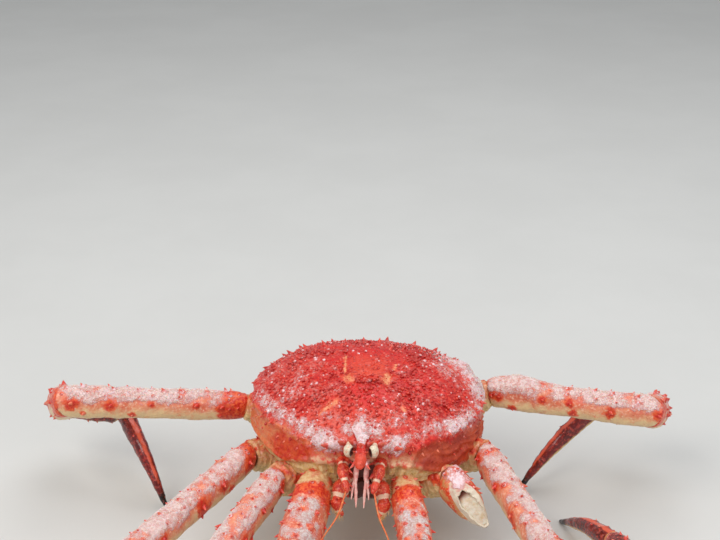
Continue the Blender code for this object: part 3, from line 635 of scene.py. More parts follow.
def plantSpines(name, spines, bend=0.25, material="spine"):
    # spines: dictionaries of arrays roots, normals, onwards, heights, widths, tint, frost, patch
    parts, start = [], 0
    for pattern, group in spines:
        points, triangles, share, number, corner = copiesOf(
            pattern, group["roots"] - group["normals"] * (group["heights"] * 0.12)[:, None], group["normals"],
            group["onwards"], group["widths"], group["heights"] * 1.12, chance, bend)
        patch = group["patch"][number] + corner * 0.0012
        share = share * group.get("tips", 1.0)
        parts.append((points, triangles + start, share, group["tint"][number], group["frost"][number], patch))
        start += len(points)
    points, triangles, share, tint, frost, patch = (np.concatenate(part) for part in zip(*parts))
    piece = joinedMesh(name, points, triangles,
                       dict(height=share, tint=tint, frost=frost * smoothStep(0.9, 0.4, share)), patch)
    piece.data.shade_smooth()
    return putPiece(piece, materials[material])


# the shell over the back

carapace = dict(
    rimHeight=0.115, lean=math.radians(-0.8), dome=0.033, fullness=2.3, rimStep=0.46, depth=0.052,
    marginDrop=0.030, marginRise=0.10, tuck=0.20, tuckStart=0.45, faceHalfAngle=24.0, faceRecess=0.010,
    rim=((0, 0.079), (15, 0.0780), (35, 0.079), (55, 0.082), (75, 0.090), (90, 0.0955), (115, 0.1010),
         (140, 0.1015), (162, 0.095), (180, 0.091)),
    wall=((0, 0.080), (15, 0.081), (35, 0.0855), (55, 0.0885), (75, 0.0945), (90, 0.0985), (115, 0.1025),
          (140, 0.1025), (162, 0.096), (180, 0.092)),
    bulge=((0.0, 0.0), (0.35, 0.85), (0.6, 1.0), (0.8, 0.6), (1.0, -0.6)),
    regions=((0.0, -0.034, 0.030, 0.024, 0.0030), (0.0, 0.022, 0.021, 0.026, 0.0035),
             (0.054, 0.020, 0.034, 0.050, 0.0040), (-0.054, 0.020, 0.034, 0.050, 0.0040),
             (0.0, 0.066, 0.028, 0.016, 0.0025)),
    # segments and rings of the ball that the shell is drawn from
    ball=(288, 210),
    # how high the frost's lump and crust stand, and how deep the dips are
    lumpHeight=0.0078, dipDepth=0.0032, frostCrust=0.0014,
    # where the wall turns into the pale lower edge: degrees from the rostrum and share of the wall, on each side
    leftCoast=((20, .32), (27, .34), (33, .39), (39, .48), (50, .62), (60, .72)),
    rightCoast=((20, .31), (29, .31), (35, .37), (41, .44), (48, .48), (60, .46)))

# the five-sided plate over the heart and the grooves beside it, as corners in plan
heartPlate = ((-0.0185, 0.030), (0.0200, 0.030), (0.0235, -0.006), (0.0165, -0.0235), (0.0, -0.0300),
              (-0.0135, -0.0240), (-0.0195, -0.006), (-0.0185, 0.030))
grooves = (((0.0165, -0.0235), (0.031, -0.034), (0.050, -0.036), (0.068, -0.030)),
           ((-0.0135, -0.0240), (-0.030, -0.034), (-0.050, -0.036), (-0.068, -0.030)),
           ((0.0200, 0.030), (0.026, 0.052), (0.022, 0.078)), ((-0.0185, 0.030), (-0.026, 0.052), (-0.022, 0.078)))
# cream marks in plan: both ends and half width
creamMarks = (((-0.0150, -0.0200), (-0.0130, -0.0255), 0.0036), ((0.0186, -0.0170), (0.0172, -0.0245), 0.0036),
              ((-0.0310, -0.0500), (-0.0225, -0.0458), 0.0024), ((0.0228, -0.0065), (0.0240, 0.0005), 0.0013),
              ((0.0312, -0.0472), (0.0324, -0.0484), 0.0018), ((-0.0185, 0.0120), (-0.0175, -0.0140), 0.0012),
              ((-0.0345, -0.0520), (-0.0355, -0.0530), 0.0014))
# frost bands on the shell, in the crab's frame: centre, reach and amount
frostPatches = (((-0.0907, -0.0063, 0.1206), 0.0065, 0.60), ((-0.0837, -0.0193, 0.1223), 0.0070, 0.75),
                ((-0.0754, -0.0305, 0.1232), 0.0065, 0.80), ((-0.0677, -0.0391, 0.1231), 0.0060, 0.80),
                ((-0.0578, -0.0486, 0.1229), 0.0060, 0.75), ((-0.0488, -0.0562, 0.1227), 0.0065, 0.80),
                ((-0.0417, -0.0619, 0.1216), 0.0070, 0.85), ((-0.0324, -0.0696, 0.1182), 0.0080, 1.00),
                ((-0.0252, -0.0732, 0.1168), 0.0070, 0.95), ((-0.0187, -0.0750, 0.1167), 0.0055, 0.70),
                ((0.0000, -0.0660, 0.128), 0.0075, 1.10), ((-0.0100, -0.0670, 0.126), 0.006, 0.85),
                ((0.0100, -0.0670, 0.126), 0.0065, 0.95), ((0.0000, -0.058, 0.134), 0.008, 0.50),
                ((0.0195, -0.0745, 0.1150), 0.0050, 0.80), ((0.0264, -0.0724, 0.1167), 0.0065, 1.10),
                ((0.0341, -0.0668, 0.1197), 0.0060, 0.60), ((0.0419, -0.0619, 0.1205), 0.0060, 0.55),
                ((0.0510, -0.0546, 0.1213), 0.0060, 0.60), ((0.0587, -0.0492, 0.1203), 0.0060, 0.70),
                ((0.0696, -0.0418, 0.1175), 0.0065, 0.95), ((0.0782, -0.0332, 0.1167), 0.0065, 0.95),
                ((0.0860, -0.0214, 0.1166), 0.0065, 0.80), ((0.0923, -0.0081, 0.1158), 0.0065, 0.65),
                ((0.0800, 0.040, 0.129), 0.017, 1.05), ((0.0900, 0.030, 0.122), 0.015, 1.15),
                ((0.0700, 0.054, 0.131), 0.016, 0.95), ((0.0930, 0.012, 0.119), 0.012, 0.90),
                ((0.0660, 0.014, 0.138), 0.014, 0.55), ((-0.0520, -0.006, 0.144), 0.014, 0.42),
                ((-0.0430, -0.032, 0.139), 0.012, 0.38), ((-0.0600, -0.024, 0.134), 0.013, 0.45),
                ((-0.0780, 0.012, 0.134), 0.018, 0.35), ((-0.0600, 0.060, 0.131), 0.020, 0.50),
                ((0.0350, 0.075, 0.130), 0.018, 0.55), ((0.0280, -0.056, 0.130), 0.014, 0.45),
                ((-0.0280, -0.058, 0.130), 0.013, 0.40), ((0.0500, -0.042, 0.130), 0.012, 0.35))
# redder patches on the walls: centre, reach and amount
embers = (((-0.0662, -0.0554, 0.0996), 0.0085, 1.2), ((-0.0560, -0.0640, 0.0990), 0.0085, 1.3),
          ((-0.0464, -0.0690, 0.1020), 0.0075, 1.1), ((-0.0819, -0.0298, 0.1176), 0.0040, 0.9),
          ((-0.0740, -0.0400, 0.1165), 0.0035, 0.8), ((-0.0480, -0.0640, 0.1150), 0.0035, 0.6),
          ((0.0523, -0.0670, 0.0970), 0.010, 1.0), ((0.0663, -0.0557, 0.0980), 0.012, 1.2),
          ((0.0780, -0.0415, 0.0970), 0.011, 1.1), ((0.0890, -0.0200, 0.0960), 0.010, 0.8))
# painted shade on the left wall: darker patches where the wall lies in shadow
wallShades = (((0.0499, -0.0638, 0.110), 0.009, 1.1), ((0.0605, -0.0545, 0.1120), 0.008, 0.9),
         ((0.0720, -0.0430, 0.1060), 0.007, 0.5))
# the brightest red on the back
vivids = (((0.0010, -0.0430, 0.1410), 0.011, 1.0), ((0.0010, 0.0200, 0.1480), 0.015, 1.0),
          ((-0.0230, 0.0000, 0.1460), 0.010, 0.7), ((0.0450, -0.0160, 0.1420), 0.014, 0.6))
# a thick lump of frost at the right of the shell's rear, and the dip before it
lumps = (((0.0800, 0.0320, 0.1290), 0.0080, 1.0), ((0.0870, 0.0190, 0.1240), 0.0065, 0.75))
dips = (((0.0620, 0.0480, 0.1350), 0.0110, 1.0), ((0.0480, 0.0650, 0.1330), 0.0120, 0.7))
# folds of the shell beside the mouth: degrees from the rostrum and step
folds = (((33, 0.50), (29, 0.58), (24, 0.68), (20, 0.80)), ((21, 0.52), (18.5, 0.60), (16.5, 0.72)))


def carapacePoint(angle, step):
    # the bare shell in its own frame: step 0 at the top, 1 at the bottom
    angle, step = np.broadcast_arrays(np.asarray(angle, float), np.asarray(step, float))
    degrees = np.abs(np.degrees(np.arctan2(np.sin(angle), np.cos(angle))))
    rim = smoothTable(*zip(*carapace["rim"]), degrees)
    wall = smoothTable(*zip(*carapace["wall"]), degrees)
    domeShare = np.clip(step / carapace["rimStep"], 0, 1)
    spread = np.sin(domeShare * math.pi / 2) ** 0.92
    x, y = rim * spread * np.sin(angle), -rim * spread * np.cos(angle)
    height = carapace["dome"] * (1 - spread ** carapace["fullness"]) ** 0.8
    for centreX, centreY, reachX, reachY, rise in carapace["regions"]:
        reach = ((x - centreX) / reachX) ** 2 + ((y - centreY) / reachY) ** 2
        height = height + rise * np.exp(-reach) * (1 - spread ** 4)
    share = np.clip((step - carapace["rimStep"]) / (1 - carapace["rimStep"]), 0, 1)
    radius = rim + (wall - rim) * smoothTable(*zip(*carapace["bulge"]), share)
    radius = radius - carapace["tuck"] * wall * np.clip(share - carapace["tuckStart"], 0, 1) ** 1.6
    inset = np.clip(1 - (degrees / carapace["faceHalfAngle"]) ** 2, 0, 1) ** 2
    radius = radius - carapace["faceRecess"] * inset * np.sin(np.clip(share * 2.5, 0, 1) * math.pi / 2)
    radius = radius * (1 - np.clip((share - 0.9) / 0.1, 0, 1))
    onDome = (step <= carapace["rimStep"])[..., None]
    domePoint = np.stack((x, y, height), -1)
    wallPoint = np.stack((radius * np.sin(angle), -radius * np.cos(angle), -carapace["depth"] * share), -1)
    return np.where(onDome, domePoint, wallPoint)


def bodyTurn(points, offset=True):
    # from the shell's own frame to the crab's
    turn = np.array(Matrix.Rotation(-carapace["lean"], 3, "Y"))
    return points @ turn.T + (np.array((0, 0, carapace["rimHeight"])) if offset else 0)


def shellPoint(angle, step):
    return bodyTurn(carapacePoint(angle, step))


def lineDistance(points, start, end):
    # distance from points to a straight line
    start, end = np.array(start), np.array(end)
    span = end - start
    u = np.clip(((points - start) @ span) / (span @ span), 0, 1)
    return np.linalg.norm(points - start - u[:, None] * span, axis=1)


def creamShare(plan):
    # how much places lie on a cream mark
    return np.max([np.exp(-(lineDistance(plan, start, end) / halfWidth / 1.4) ** 2)
                   for start, end, halfWidth in creamMarks], axis=0)


def chainDistance(points, corners):
    return np.min([lineDistance(points, a, b) for a, b in zip(corners, corners[1:])], axis=0)


def insideOutline(points, corners):
    # 1 inside a closed outline in plan
    inside = np.zeros(len(points), bool)
    for (ax, ay), (bx, by) in zip(corners, corners[1:]):
        crosses = (ay > points[:, 1]) != (by > points[:, 1])
        reach = ax + (points[:, 1] - ay) / (by - ay + 1e-12) * (bx - ax)
        inside ^= crosses & (points[:, 0] < reach)
    return inside.astype(float)


def patchAmount(points, patches):
    amount = np.zeros(len(points))
    for centre, reach, value in patches:
        distance = np.linalg.norm(points - np.array(centre), axis=1) / reach
        amount = np.maximum(amount, value * np.exp(-0.5 * distance ** 2))
    return amount


shellSpines = dict(
    # rows: step, first and last degrees from the rostrum, count on a side, height
    rows=((0.085, 25, 155, 3, 0.0034), (0.165, 14, 165, 6, 0.0038), (0.250, 8, 172, 9, 0.0040),
          (0.330, 10, 170, 12, 0.0042), (0.400, 10, 174, 17, 0.0046), (0.445, 22, 172, 20, 0.0060),
          (0.480, 30, 168, 18, 0.0036), (0.560, 38, 165, 14, 0.0030), (0.650, 44, 160, 12, 0.0024)),
    tubercles=2400, tubercleHeight=0.0014)


def shellSpineRoots():
    # the spines in rows, and the small knobs between them
    angles, steps, heights = [], [], []
    for step, first, last, count, height in shellSpines["rows"]:
        for side in (-1, 1):
            spacing = (last - first) / (count - 1)
            degrees = np.linspace(first, last, count) + chance.uniform(-0.3, 0.3, count) * spacing
            angles.append(side * np.radians(degrees))
            steps.append(step + chance.uniform(-0.014, 0.014, count))
            rear = smoothStep(110, 145, np.abs(degrees))
            heights.append(height * chance.uniform(0.7, 1.25, count) * (0.75 + 0.6 * rear))
    big = np.concatenate(angles), np.concatenate(steps), np.concatenate(heights)
    # small ones are spread evenly over the shell by area, from a spiral
    count = shellSpines["tubercles"]
    turn = np.arange(count) * math.pi * (3 - math.sqrt(5))
    share = np.sqrt((np.arange(count) + 0.5) / count)
    step = np.where(share < 0.96, np.arcsin(np.clip((share / 0.96), 0, 1) ** (1 / 0.92)) * 2 / math.pi
                    * carapace["rimStep"], carapace["rimStep"] + (share - 0.96) / 0.04 * 0.07)
    angle = np.arctan2(np.sin(turn), np.cos(turn)) + chance.uniform(-0.03, 0.03, count)
    step = np.clip(step + chance.uniform(-0.006, 0.006, count), 0.012, 0.78)
    height = shellSpines["tubercleHeight"] * chance.uniform(0.45, 1.3, count)
    return big, (angle, step, height)


def makeCarapace():
    piece = addBall("carapace_shell", *carapace["ball"])
    angle, share = ballAngles(piece)
    step = np.where(share < 0.62, share / 0.62 * 0.5, 0.5 + (share - 0.62) / 0.38 * 0.5)
    bare = shellPoint(angle, step)
    setPoints(piece, bare)
    fixNormals(piece)
    normals = getNormals(piece)
    plan = bare[:, :2]
    onTop = smoothStep(carapace["rimStep"] + 0.04, carapace["rimStep"] - 0.04, step)
    below = np.clip((step - carapace["rimStep"]) / (1 - carapace["rimStep"]), 0, 1)
    big, small = shellSpineRoots()
    # the grooves, the plate's edge, swellings at the spines' feet and uneven frost
    plate = insideOutline(plan, heartPlate)
    edge = chainDistance(plan, heartPlate)
    groove = np.exp(-(edge / 0.0018) ** 2) * (0.3 + 0.7 * smoothStep(-0.004, -0.016, plan[:, 1]))
    for line in grooves:
        groove = np.maximum(groove, 0.7 * np.exp(-(chainDistance(plan, line) / 0.0024) ** 2))
    groove *= onTop
    lift = -0.0013 * groove + 0.0006 * plate * smoothStep(0.0, 0.004, edge)
    roots = shellPoint(big[0], big[1])
    for place, height in zip(roots, big[2]):
        near = np.linalg.norm(bare - place, axis=1) / (0.0035 + height * 0.5)
        lift += height * 0.20 * np.exp(-near ** 2)
    coarse = roughNoise(bare, 0.016, 3)
    fine = roughNoise(bare, 0.0045, 3)
    lift += coarse * 0.0014 * (0.4 + 0.6 * onTop) + fine * 0.0007
    wrinkle = np.sin(below * 30 + 3.0 * roughNoise(bare, 0.03, 2) * 6) * smoothStep(0.15, 0.35, below)
    onRight = smoothStep(0.01, 0.04, bare[:, 0])
    lift += wrinkle * (0.0003 + 0.0007 * onRight) * smoothStep(0.95, 0.7, below)
    lobes = np.abs(np.sin(angle * 7.5)) ** 0.7 * np.exp(-((step - carapace["rimStep"] - 0.01) / 0.035) ** 2)
    lift += 0.0016 * lobes * smoothStep(0.25, 0.6, np.abs(angle))
    frost = patchAmount(bare, frostPatches)
    speckle = roughNoise(bare, 0.010, 4) + 0.25 * roughNoise(bare, 0.003, 2)
    outer = smoothStep(0.20, 0.42, step) * onTop
    thin = (0.13 + 0.17 * outer + 0.48 * speckle) * smoothStep(0.10, 0.0, below)
    frost = np.maximum(frost * smoothStep(0.42, 0.08, below), thin)
    bareSpot = np.exp(-(np.hypot(plan[:, 0] - 0.004, plan[:, 1] + 0.046) / 0.012) ** 2)
    frost -= 0.22 * plate * smoothStep(0.0, 0.010, edge) + 0.3 * bareSpot
    frost = np.clip(frost, 0, 1.2)
    lift += carapace["frostCrust"] * smoothStep(0.3, 1.0, frost) * (0.6 + roughNoise(bare, 0.004, 3))
    lift += carapace["lumpHeight"] * patchAmount(bare, lumps) - carapace["dipDepth"] * patchAmount(bare, dips)
    degrees = np.abs(np.degrees(angle))
    leftCoast, rightCoast = (np.interp(degrees, *zip(*carapace[name])) for name in ("leftCoast", "rightCoast"))
    coast = 0.05 * coarse + np.where(angle > 0, leftCoast, rightCoast)
    lift += 0.0012 * np.exp(-((below - coast + 0.04) / 0.035) ** 2) - 0.0034 * smoothStep(coast, coast + 0.06, below)
    for fold in folds:
        turns, steps = np.array(fold).T
        corners = shellPoint(np.radians(turns), steps)
        for side in (1, -1):
            away = chainDistance(bare * (side, 1, 1), corners)
            lift += 0.0024 * np.exp(-(away / 0.0022) ** 2) - 0.0012 * np.exp(-((away - 0.0045) / 0.002) ** 2)
    setPoints(piece, bare + normals * lift[:, None])
    orange = plate * smoothStep(0.0, 0.011, edge + 0.006 * coarse) * smoothStep(0.020, 0.004, plan[:, 1])
    orange = np.maximum(orange, 0.7 * smoothStep(-0.040, -0.060, plan[:, 1]) * onTop
                        * smoothStep(0.055, 0.02, np.abs(plan[:, 0] + 0.01)))
    setMask(piece, "groove", groove)
    setMask(piece, "orange", orange)
    setMask(piece, "cream", creamShare(plan) * onTop)
    setMask(piece, "wall", smoothStep(0.04, 0.14, (step - carapace["rimStep"]) / 0.54 + 0.20 * coarse
                                      + 0.14 * smoothStep(-0.01, -0.04, bare[:, 0]) * smoothStep(100, 70, degrees)))
    # painted shade over the left side of the wall, strongest in its shadowed patches
    setMask(piece, "wallShade", np.clip(0.80 * onRight * smoothStep(22, 40, degrees) + patchAmount(bare, wallShades), 0, 1))
    setMask(piece, "ember", patchAmount(bare, embers))
    setMask(piece, "vivid", np.clip(patchAmount(bare, vivids) + 0.5 * coarse, 0, 1) * onTop)
    setMask(piece, "face", smoothStep(36, 24, degrees + 14 * coarse) * smoothStep(0.10, 0.25, below))
    # where the mouth's hollow lies in shadow, for the painted shade
    setMask(piece, "shadedHollow", smoothStep(14, 9, degrees + 10 * coarse) * smoothStep(0.24, 0.38, below))
    setMask(piece, "margin", smoothStep(coast - 0.03, coast + 0.05, below + 0.1 * fine))
    setMask(piece, "frost", frost)
    setMask(piece, "mapU", 0.5 + 0.45 * step * np.sin(angle))
    setMask(piece, "mapV", 0.5 - 0.45 * step * np.cos(angle))
    turn = bodyTurn(np.array(((0, -carapace["marginRise"], 1),)), False)[0]
    low = bodyTurn(np.array(((0, 0, -carapace["marginDrop"]),)))[0]
    sliceOff(piece, low, -turn)
    smoothShade(piece, 60)
    putPiece(piece, materials["carapace"], "carapace")
    # its spines and knobs
    groups = []
    for pattern, (angles, steps, heights), slim, tips in ((bigSpine, big, 0.44, 1.0), (knob, small, 0.85, 0.72)):
        foot = shellPoint(angles, steps)
        centre = np.array((0, 0, carapace["rimHeight"] - 0.02))
        normal, onward = skinNormal(shellPoint, centre, angles, steps)
        leaned = unit(normal + onward * 0.35)
        dusted = 0.8 * chance.uniform(0, 1, len(foot)) ** 6
        frostHere = np.clip(patchAmount(foot, frostPatches) * 0.8 + dusted, 0.1, 1)
        onWall = smoothStep(carapace["rimStep"] + 0.05, carapace["rimStep"] + 0.12, steps)
        onMark = smoothStep(0.2, 0.7, creamShare(foot[:, :2])) * (1 - onWall)
        heights = heights * (1 - 0.6 * onMark)
        tint = np.clip(chance.uniform(0, 0.86, len(foot)) ** 1.5 + 0.5 * onWall + 0.6 * onMark, 0, 1)
        patch = np.stack((0.5 + 0.45 * steps * np.sin(angles), 0.5 - 0.45 * steps * np.cos(angles)), -1)
        groups.append((pattern, dict(roots=foot, normals=leaned, onwards=onward, heights=heights, tips=tips,
                                     widths=heights * slim, tint=tint, frost=frostHere, patch=patch)))
    rostrum, rostrumSpines = makeRostrum()
    groups.append((bigSpine, rostrumSpines))
    plantSpines("carapace_spines", groups)
    strewFrost("carapace_frost", [piece, rostrum])


# legs

legs = dict(
    joints=dict(
        leg1_R=((-.044, -.036, .060), (-.071, -.062, .074), (-.118, -.200, .064), (-.156, -.268, .074),
                (-.225, -.347, .052), (-.264, -.407, 0)),
        leg2_R=((-.056, -.006, .062), (-.098, -.026, .074), (-.172, -.175, .070), (-.240, -.203, .080),
                (-.322, -.140, .052), (-.362, -.072, 0)),
        leg3_R=((-.058, .032, .068), (-.108, .029, .089), (-.259, -.002, .106), (-.284, .060, .067),
                (-.225, .050, .068), (-.176, -.007, 0)),
        leg2_L=((.056, -.006, .066), (.100, -.024, .080), (.156, -.182, .071), (.232, -.190, .062),
                (.203, -.080, .036), (.169, -.002, 0)),
        leg3_L=((.056, .034, .074), (.105, .044, .101), (.241, .013, .104), (.257, .078, .069),
                (.201, .073, .070), (.134, .042, 0))),
    parts=("base", "merus", "carpus", "propodus", "dactyl"),
    radii=dict(base=(.0150, .0146, .0120), merus=(.0126, .0132, .0128, .0136, .0150),
               carpus=(.0128, .0150, .0140), propodus=(.0130, .0122, .0112), dactyl=(.0098, .0066, .0018)),
    flatness=0.88, bow=0.006, gap=0.0003,
    # how much frost lies on each section
    frost=dict(base=0.35, merus=0.86, carpus=0.62, propodus=0.30, dactyl=0.05),
    # where a leg's upper section turns warm and bare: share from the body, and how warm its next section is
    looks=dict(leg1_R=(0.10, 0.2), leg2_R=(0.16, 0.2), leg3_R=(0.24, 0.9), leg2_L=(0.08, 0.2), leg3_L=(0.08, 0.9)),
    # where frost is piled up: middle share, reach and height
    piles=dict(leg3_L=(0.21, 0.12, 0.0050)),
    # rows: degrees round from the top, first and last share, count, height
    rows=dict(
        base=((0, .35, .75, 3, .0030), (60, .35, .75, 3, .0028), (-60, .35, .75, 3, .0028)),
        merus=((0, .12, .93, 8, .0034), (36, .14, .93, 8, .0026), (-36, .14, .93, 8, .0026),
               (78, .14, .90, 5, .0040), (-78, .14, .90, 5, .0040), (118, .20, .86, 3, .0024),
               (-118, .20, .86, 3, .0024), (170, .80, .92, 2, .0022), (20, .03, .12, 3, .0026),
               (75, .04, .12, 3, .0026), (-75, .04, .12, 3, .0026)),
        carpus=((0, .14, .84, 6, .0042), (42, .16, .80, 5, .0036), (-42, .16, .80, 5, .0036),
                (85, .16, .80, 5, .0036), (-85, .16, .80, 5, .0036), (130, .25, .75, 3, .0026),
                (-130, .25, .75, 3, .0026)),
        propodus=((0, .16, .88, 9, .0034), (40, .2, .85, 8, .0026), (-40, .2, .85, 8, .0026),
                  (85, .18, .86, 8, .0030), (-85, .18, .86, 8, .0030), (140, .3, .8, 4, .0022),
                  (-140, .3, .8, 4, .0022)),
        dactyl=((30, .08, .35, 3, .0018), (-30, .08, .35, 3, .0018))))


crystals = dict(density=30e6, most=18500, size=(0.00022, 0.00062))


def crystalPattern():
    # a stretched eight-sided crystal that stands on its lower point
    points = np.array(((0, 0, 0), (0.5, 0, 0.45), (0, 0.5, 0.45), (-0.5, 0, 0.45), (0, -0.5, 0.45), (0, 0, 1.0)))
    ring = ((1, 2), (2, 3), (3, 4), (4, 1))
    return points, np.array([(0, b, a) for a, b in ring] + [(5, a, b) for a, b in ring])


def strewFrost(name, pieces):
    # small ice crystals where the frost lies thick on some finished pieces
    parts = []
    for piece in pieces:
        mesh = piece.data
        mesh.calc_loop_triangles()
        corners = np.empty(len(mesh.loop_triangles) * 3, np.int32)
        mesh.loop_triangles.foreach_get("vertices", corners)
        corners = corners.reshape(-1, 3)
        points, normals, frost = getPoints(piece), getNormals(piece), getMask(piece, "frost")
        a, b, c = (points[corners[:, i]] for i in range(3))
        area = np.linalg.norm(np.cross(b - a, c - a), axis=1) / 2
        weight = area * smoothStep(0.40, 0.85, frost[corners].mean(axis=1))
        parts.append((piece, corners, points, normals, weight))
    total = sum(part[4].sum() for part in parts)
    wanted = min(crystals["most"], total * crystals["density"])
    roots, upwards, maps = [], [], []
    for piece, corners, points, normals, weight in parts:
        count = int(wanted * weight.sum() / total)
        if not count:
            continue
        ranks = np.cumsum(weight)
        chosen = corners[np.searchsorted(ranks, chance.uniform(0, ranks[-1], count))]
        u, v = chance.uniform(0, 1, (2, count, 1))
        u, v = np.where(u + v > 1, 1 - u, u), np.where(u + v > 1, 1 - v, v)
        corner = [points[chosen[:, i]] for i in range(3)]
        roots.append(corner[0] * (1 - u - v) + corner[1] * u + corner[2] * v)
        upwards.append(unit(normals[chosen[:, 0]] + chance.normal(0, 0.55, (count, 3))))
        maps.append(np.stack((getMask(piece, "mapU")[chosen[:, 0]], getMask(piece, "mapV")[chosen[:, 0]]), -1))
    roots, upwards, maps = map(np.concatenate, (roots, upwards, maps))
    sizes = chance.uniform(*crystals["size"], len(roots)) * chance.uniform(0.6, 1.5, len(roots))
    sideways = unit(chance.normal(0, 1, (len(roots), 3)))
    points, triangles, share, number, corner = copiesOf(
        crystalPattern(), roots - upwards * sizes[:, None] * 0.35, upwards, sideways, sizes * 0.8, sizes * 1.3, chance)
    patch = maps[number] + corner * 0.0012
    piece = joinedMesh(name, points, triangles, dict(height=share), patch)
    piece.data.materials.append(materials["crystal"])
    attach(piece, "root")
    return piece


def upward(start, end):
    direction = unit(end - start)
    return (0, 0, 1) if abs(direction[2]) < 0.85 else (0, 1, 0)


def jointPlanes(joints):
    planes = []
    for before, joint, after in zip(joints, joints[1:], joints[2:]):
        inward, outward = unit(joint - before), unit(after - joint)
        planes.append((joint, unit(inward + outward), math.tan(math.acos(inward @ outward) / 2)))
    return planes


def nearCut(plane):
    # the cut at a section's end next to the body
    return plane[0] + plane[1] * legs["gap"] / 2, -plane[1]


def farCut(plane):
    return plane[0] - plane[1] * legs["gap"] / 2, plane[1]


def sectionLimb(joints, index, radii, flatness, bow=0.0, last=False, squareness=2.25):
    planes = jointPlanes(joints)
    start, end = joints[index], joints[index + 1]
    up = np.array(upward(start, end), float)
    path = [start, (start + end) / 2 + up * bow, end] if bow else [start, end]
    runs = [0.0, 0.0]
    if index > 0:
        runs[0] = radii[0] * min(0.45 + planes[index - 1][2], 1.1)
    if not last:
        runs[1] = radii[-1] * min(0.45 + planes[index][2], 1.1)
    return limbShape(path, radii, flatness, up, runs, squareness=squareness)


def limbSpineRoots(limb, rows, size=1.0):
    angles, shares, heights = [], [], []
    for degrees, first, last, count, height in rows:
        spacing = (last - first) / max(count - 1, 1)
        shares.append(np.linspace(first, last, count) + chance.uniform(-0.25, 0.25, count) * spacing)
        angles.append(math.pi + np.radians(degrees + chance.uniform(-11, 11, count)))
        heights.append(height * size * chance.uniform(0.7, 1.25, count))
    angles, shares, heights = map(np.concatenate, (angles, shares, heights))

    def point(angle, t):
        return limbPoint(limb, angle, t)

    foot = point(angles, shares)
    middle = (foot + point(angles + math.pi, shares)) / 2
    normal, onward = skinNormal(point, middle, angles, shares)
    return dict(roots=foot, normals=unit(normal + onward * 0.35), onwards=onward, heights=heights,
                angle=angles, share=shares)


def behindPlanes(spines, planes):
    # leaves out the spines that would reach the next section
    tips = spines["roots"] + spines["normals"] * spines["heights"][:, None]
    keep = np.ones(len(tips), bool)
    for point, normal in planes:
        keep &= ((tips - point) @ normal < -0.0006) & ((spines["roots"] - point) @ normal < -0.0016)
    return {name: values[keep] for name, values in spines.items()}


def spotsAt(piece, spines):
    # a blotch round each spine, wide on the sides and small on top
    points = getPoints(piece)
    spots = np.zeros(len(points))
    aside = smoothStep(45, 70, np.abs(np.degrees(spines["angle"] - math.pi)))
    uneven = chance.uniform(0.55, 1.65, len(aside))
    for root, height, side, size in zip(spines["roots"], spines["heights"], aside, uneven):
        distance = np.linalg.norm(points - root, axis=1) / (0.0008 + height * (0.55 + 0.75 * side) * size)
        spots = np.maximum(spots, np.exp(-distance ** 2))
    return spots


def frostOn(piece, amount, low=0.20, high=0.85):
    # frost settles on what faces up, unevenly
    points, normals = getPoints(piece), getNormals(piece)
    uneven = roughNoise(points, 0.012, 3)
    frost = amount * smoothStep(low, high, normals[:, 2] + 0.55 * uneven + 0.1)
    frost *= 1 + 1.5 * np.minimum(roughNoise(points, 0.015, 3), 0.06)
    return frost


def finishSection(piece, spines, frost, lumps=0.0010, material="leg", node=None, warm=0.0, folds=0.0):
    # lumps, frost crust and masks of one section, then its place in the crab
    spots = spotsAt(piece, spines)
    frost = np.clip((frost - 0.45 * spots) * (1 - 0.75 * np.broadcast_to(warm, len(frost))), 0, 1.2)
    points = getPoints(piece)
    lift = roughNoise(points, 0.011, 3) * lumps + roughNoise(points, 0.0035, 2) * lumps * 0.45
    lift += folds * np.sin(getMask(piece, "along") * 60 + 7 * roughNoise(points, 0.012, 2))
    lift += spots * 0.0007 + 0.0007 * smoothStep(0.30, 1.1, frost) * (0.6 + roughNoise(points, 0.004, 3))
    liftSkin(piece, lift)
    setMask(piece, "spots", spots)
    setMask(piece, "frost", frost)
    setMask(piece, "warm", warm)
    smoothShade(piece, 50)
    return putPiece(piece, materials[material], node)


def spineGroup(spines, slim, frost=0.3, section=0):
    # what plantSpines needs, with the frost on the upper ones
    facing = smoothStep(0.1, 0.8, spines["normals"][:, 2])
    patch = np.stack((0.5 + 0.46 * np.sin(spines["angle"] / 2), (section + spines["share"]) / 6), -1)
    return dict(roots=spines["roots"], normals=spines["normals"], onwards=spines["onwards"],
                heights=spines["heights"], widths=spines["heights"] * slim,
                tint=chance.uniform(0.25, 1, len(facing)), frost=frost * facing, patch=patch)


def makeRoot(name, joints, planes, radii, rows, size=1.0):
    # the short section next to the body, tan with red bumps
    limb = sectionLimb(joints, 0, radii, legs["flatness"])
    piece = sweepBall(name + "_base_shell", limb, 60, 60)
    cut = farCut(planes[0])
    cutEnd(piece, *cut)
    spines = behindPlanes(limbSpineRoots(limb, rows, size), [cut])
    around = getMask(piece, "around")
    warm = 0.5 * smoothStep(-0.2, 0.8, around) * smoothStep(0.25, 0.6, getMask(piece, "along"))
    finishSection(piece, spines, frostOn(piece, legs["frost"]["base"]), 0.0018, "root", name + "_base",
                  warm, 0.0005)
    addJointSkin(name + "_base_skin", planes[0], radii[-1])
    return bigSpine, spineGroup(spines, 0.42, frost=0.2)


def addJointSkin(name, plane, radius):
    # the soft skin inside a joint, seen in the gap between two sections
    point, normal, _ = plane
    skin = addBall(name, 32, 16)
    points = getPoints(skin)
    turn = np.array(Vector(normal).to_track_quat("Z", "Y").to_matrix())
    shape = np.array((radius * legs["flatness"] * 0.86, radius * 0.86, radius * 0.45))
    setPoints(skin, point + (points * shape) @ turn.T)
    smoothShade(skin, 60)
    putPiece(skin, materials["membrane"])


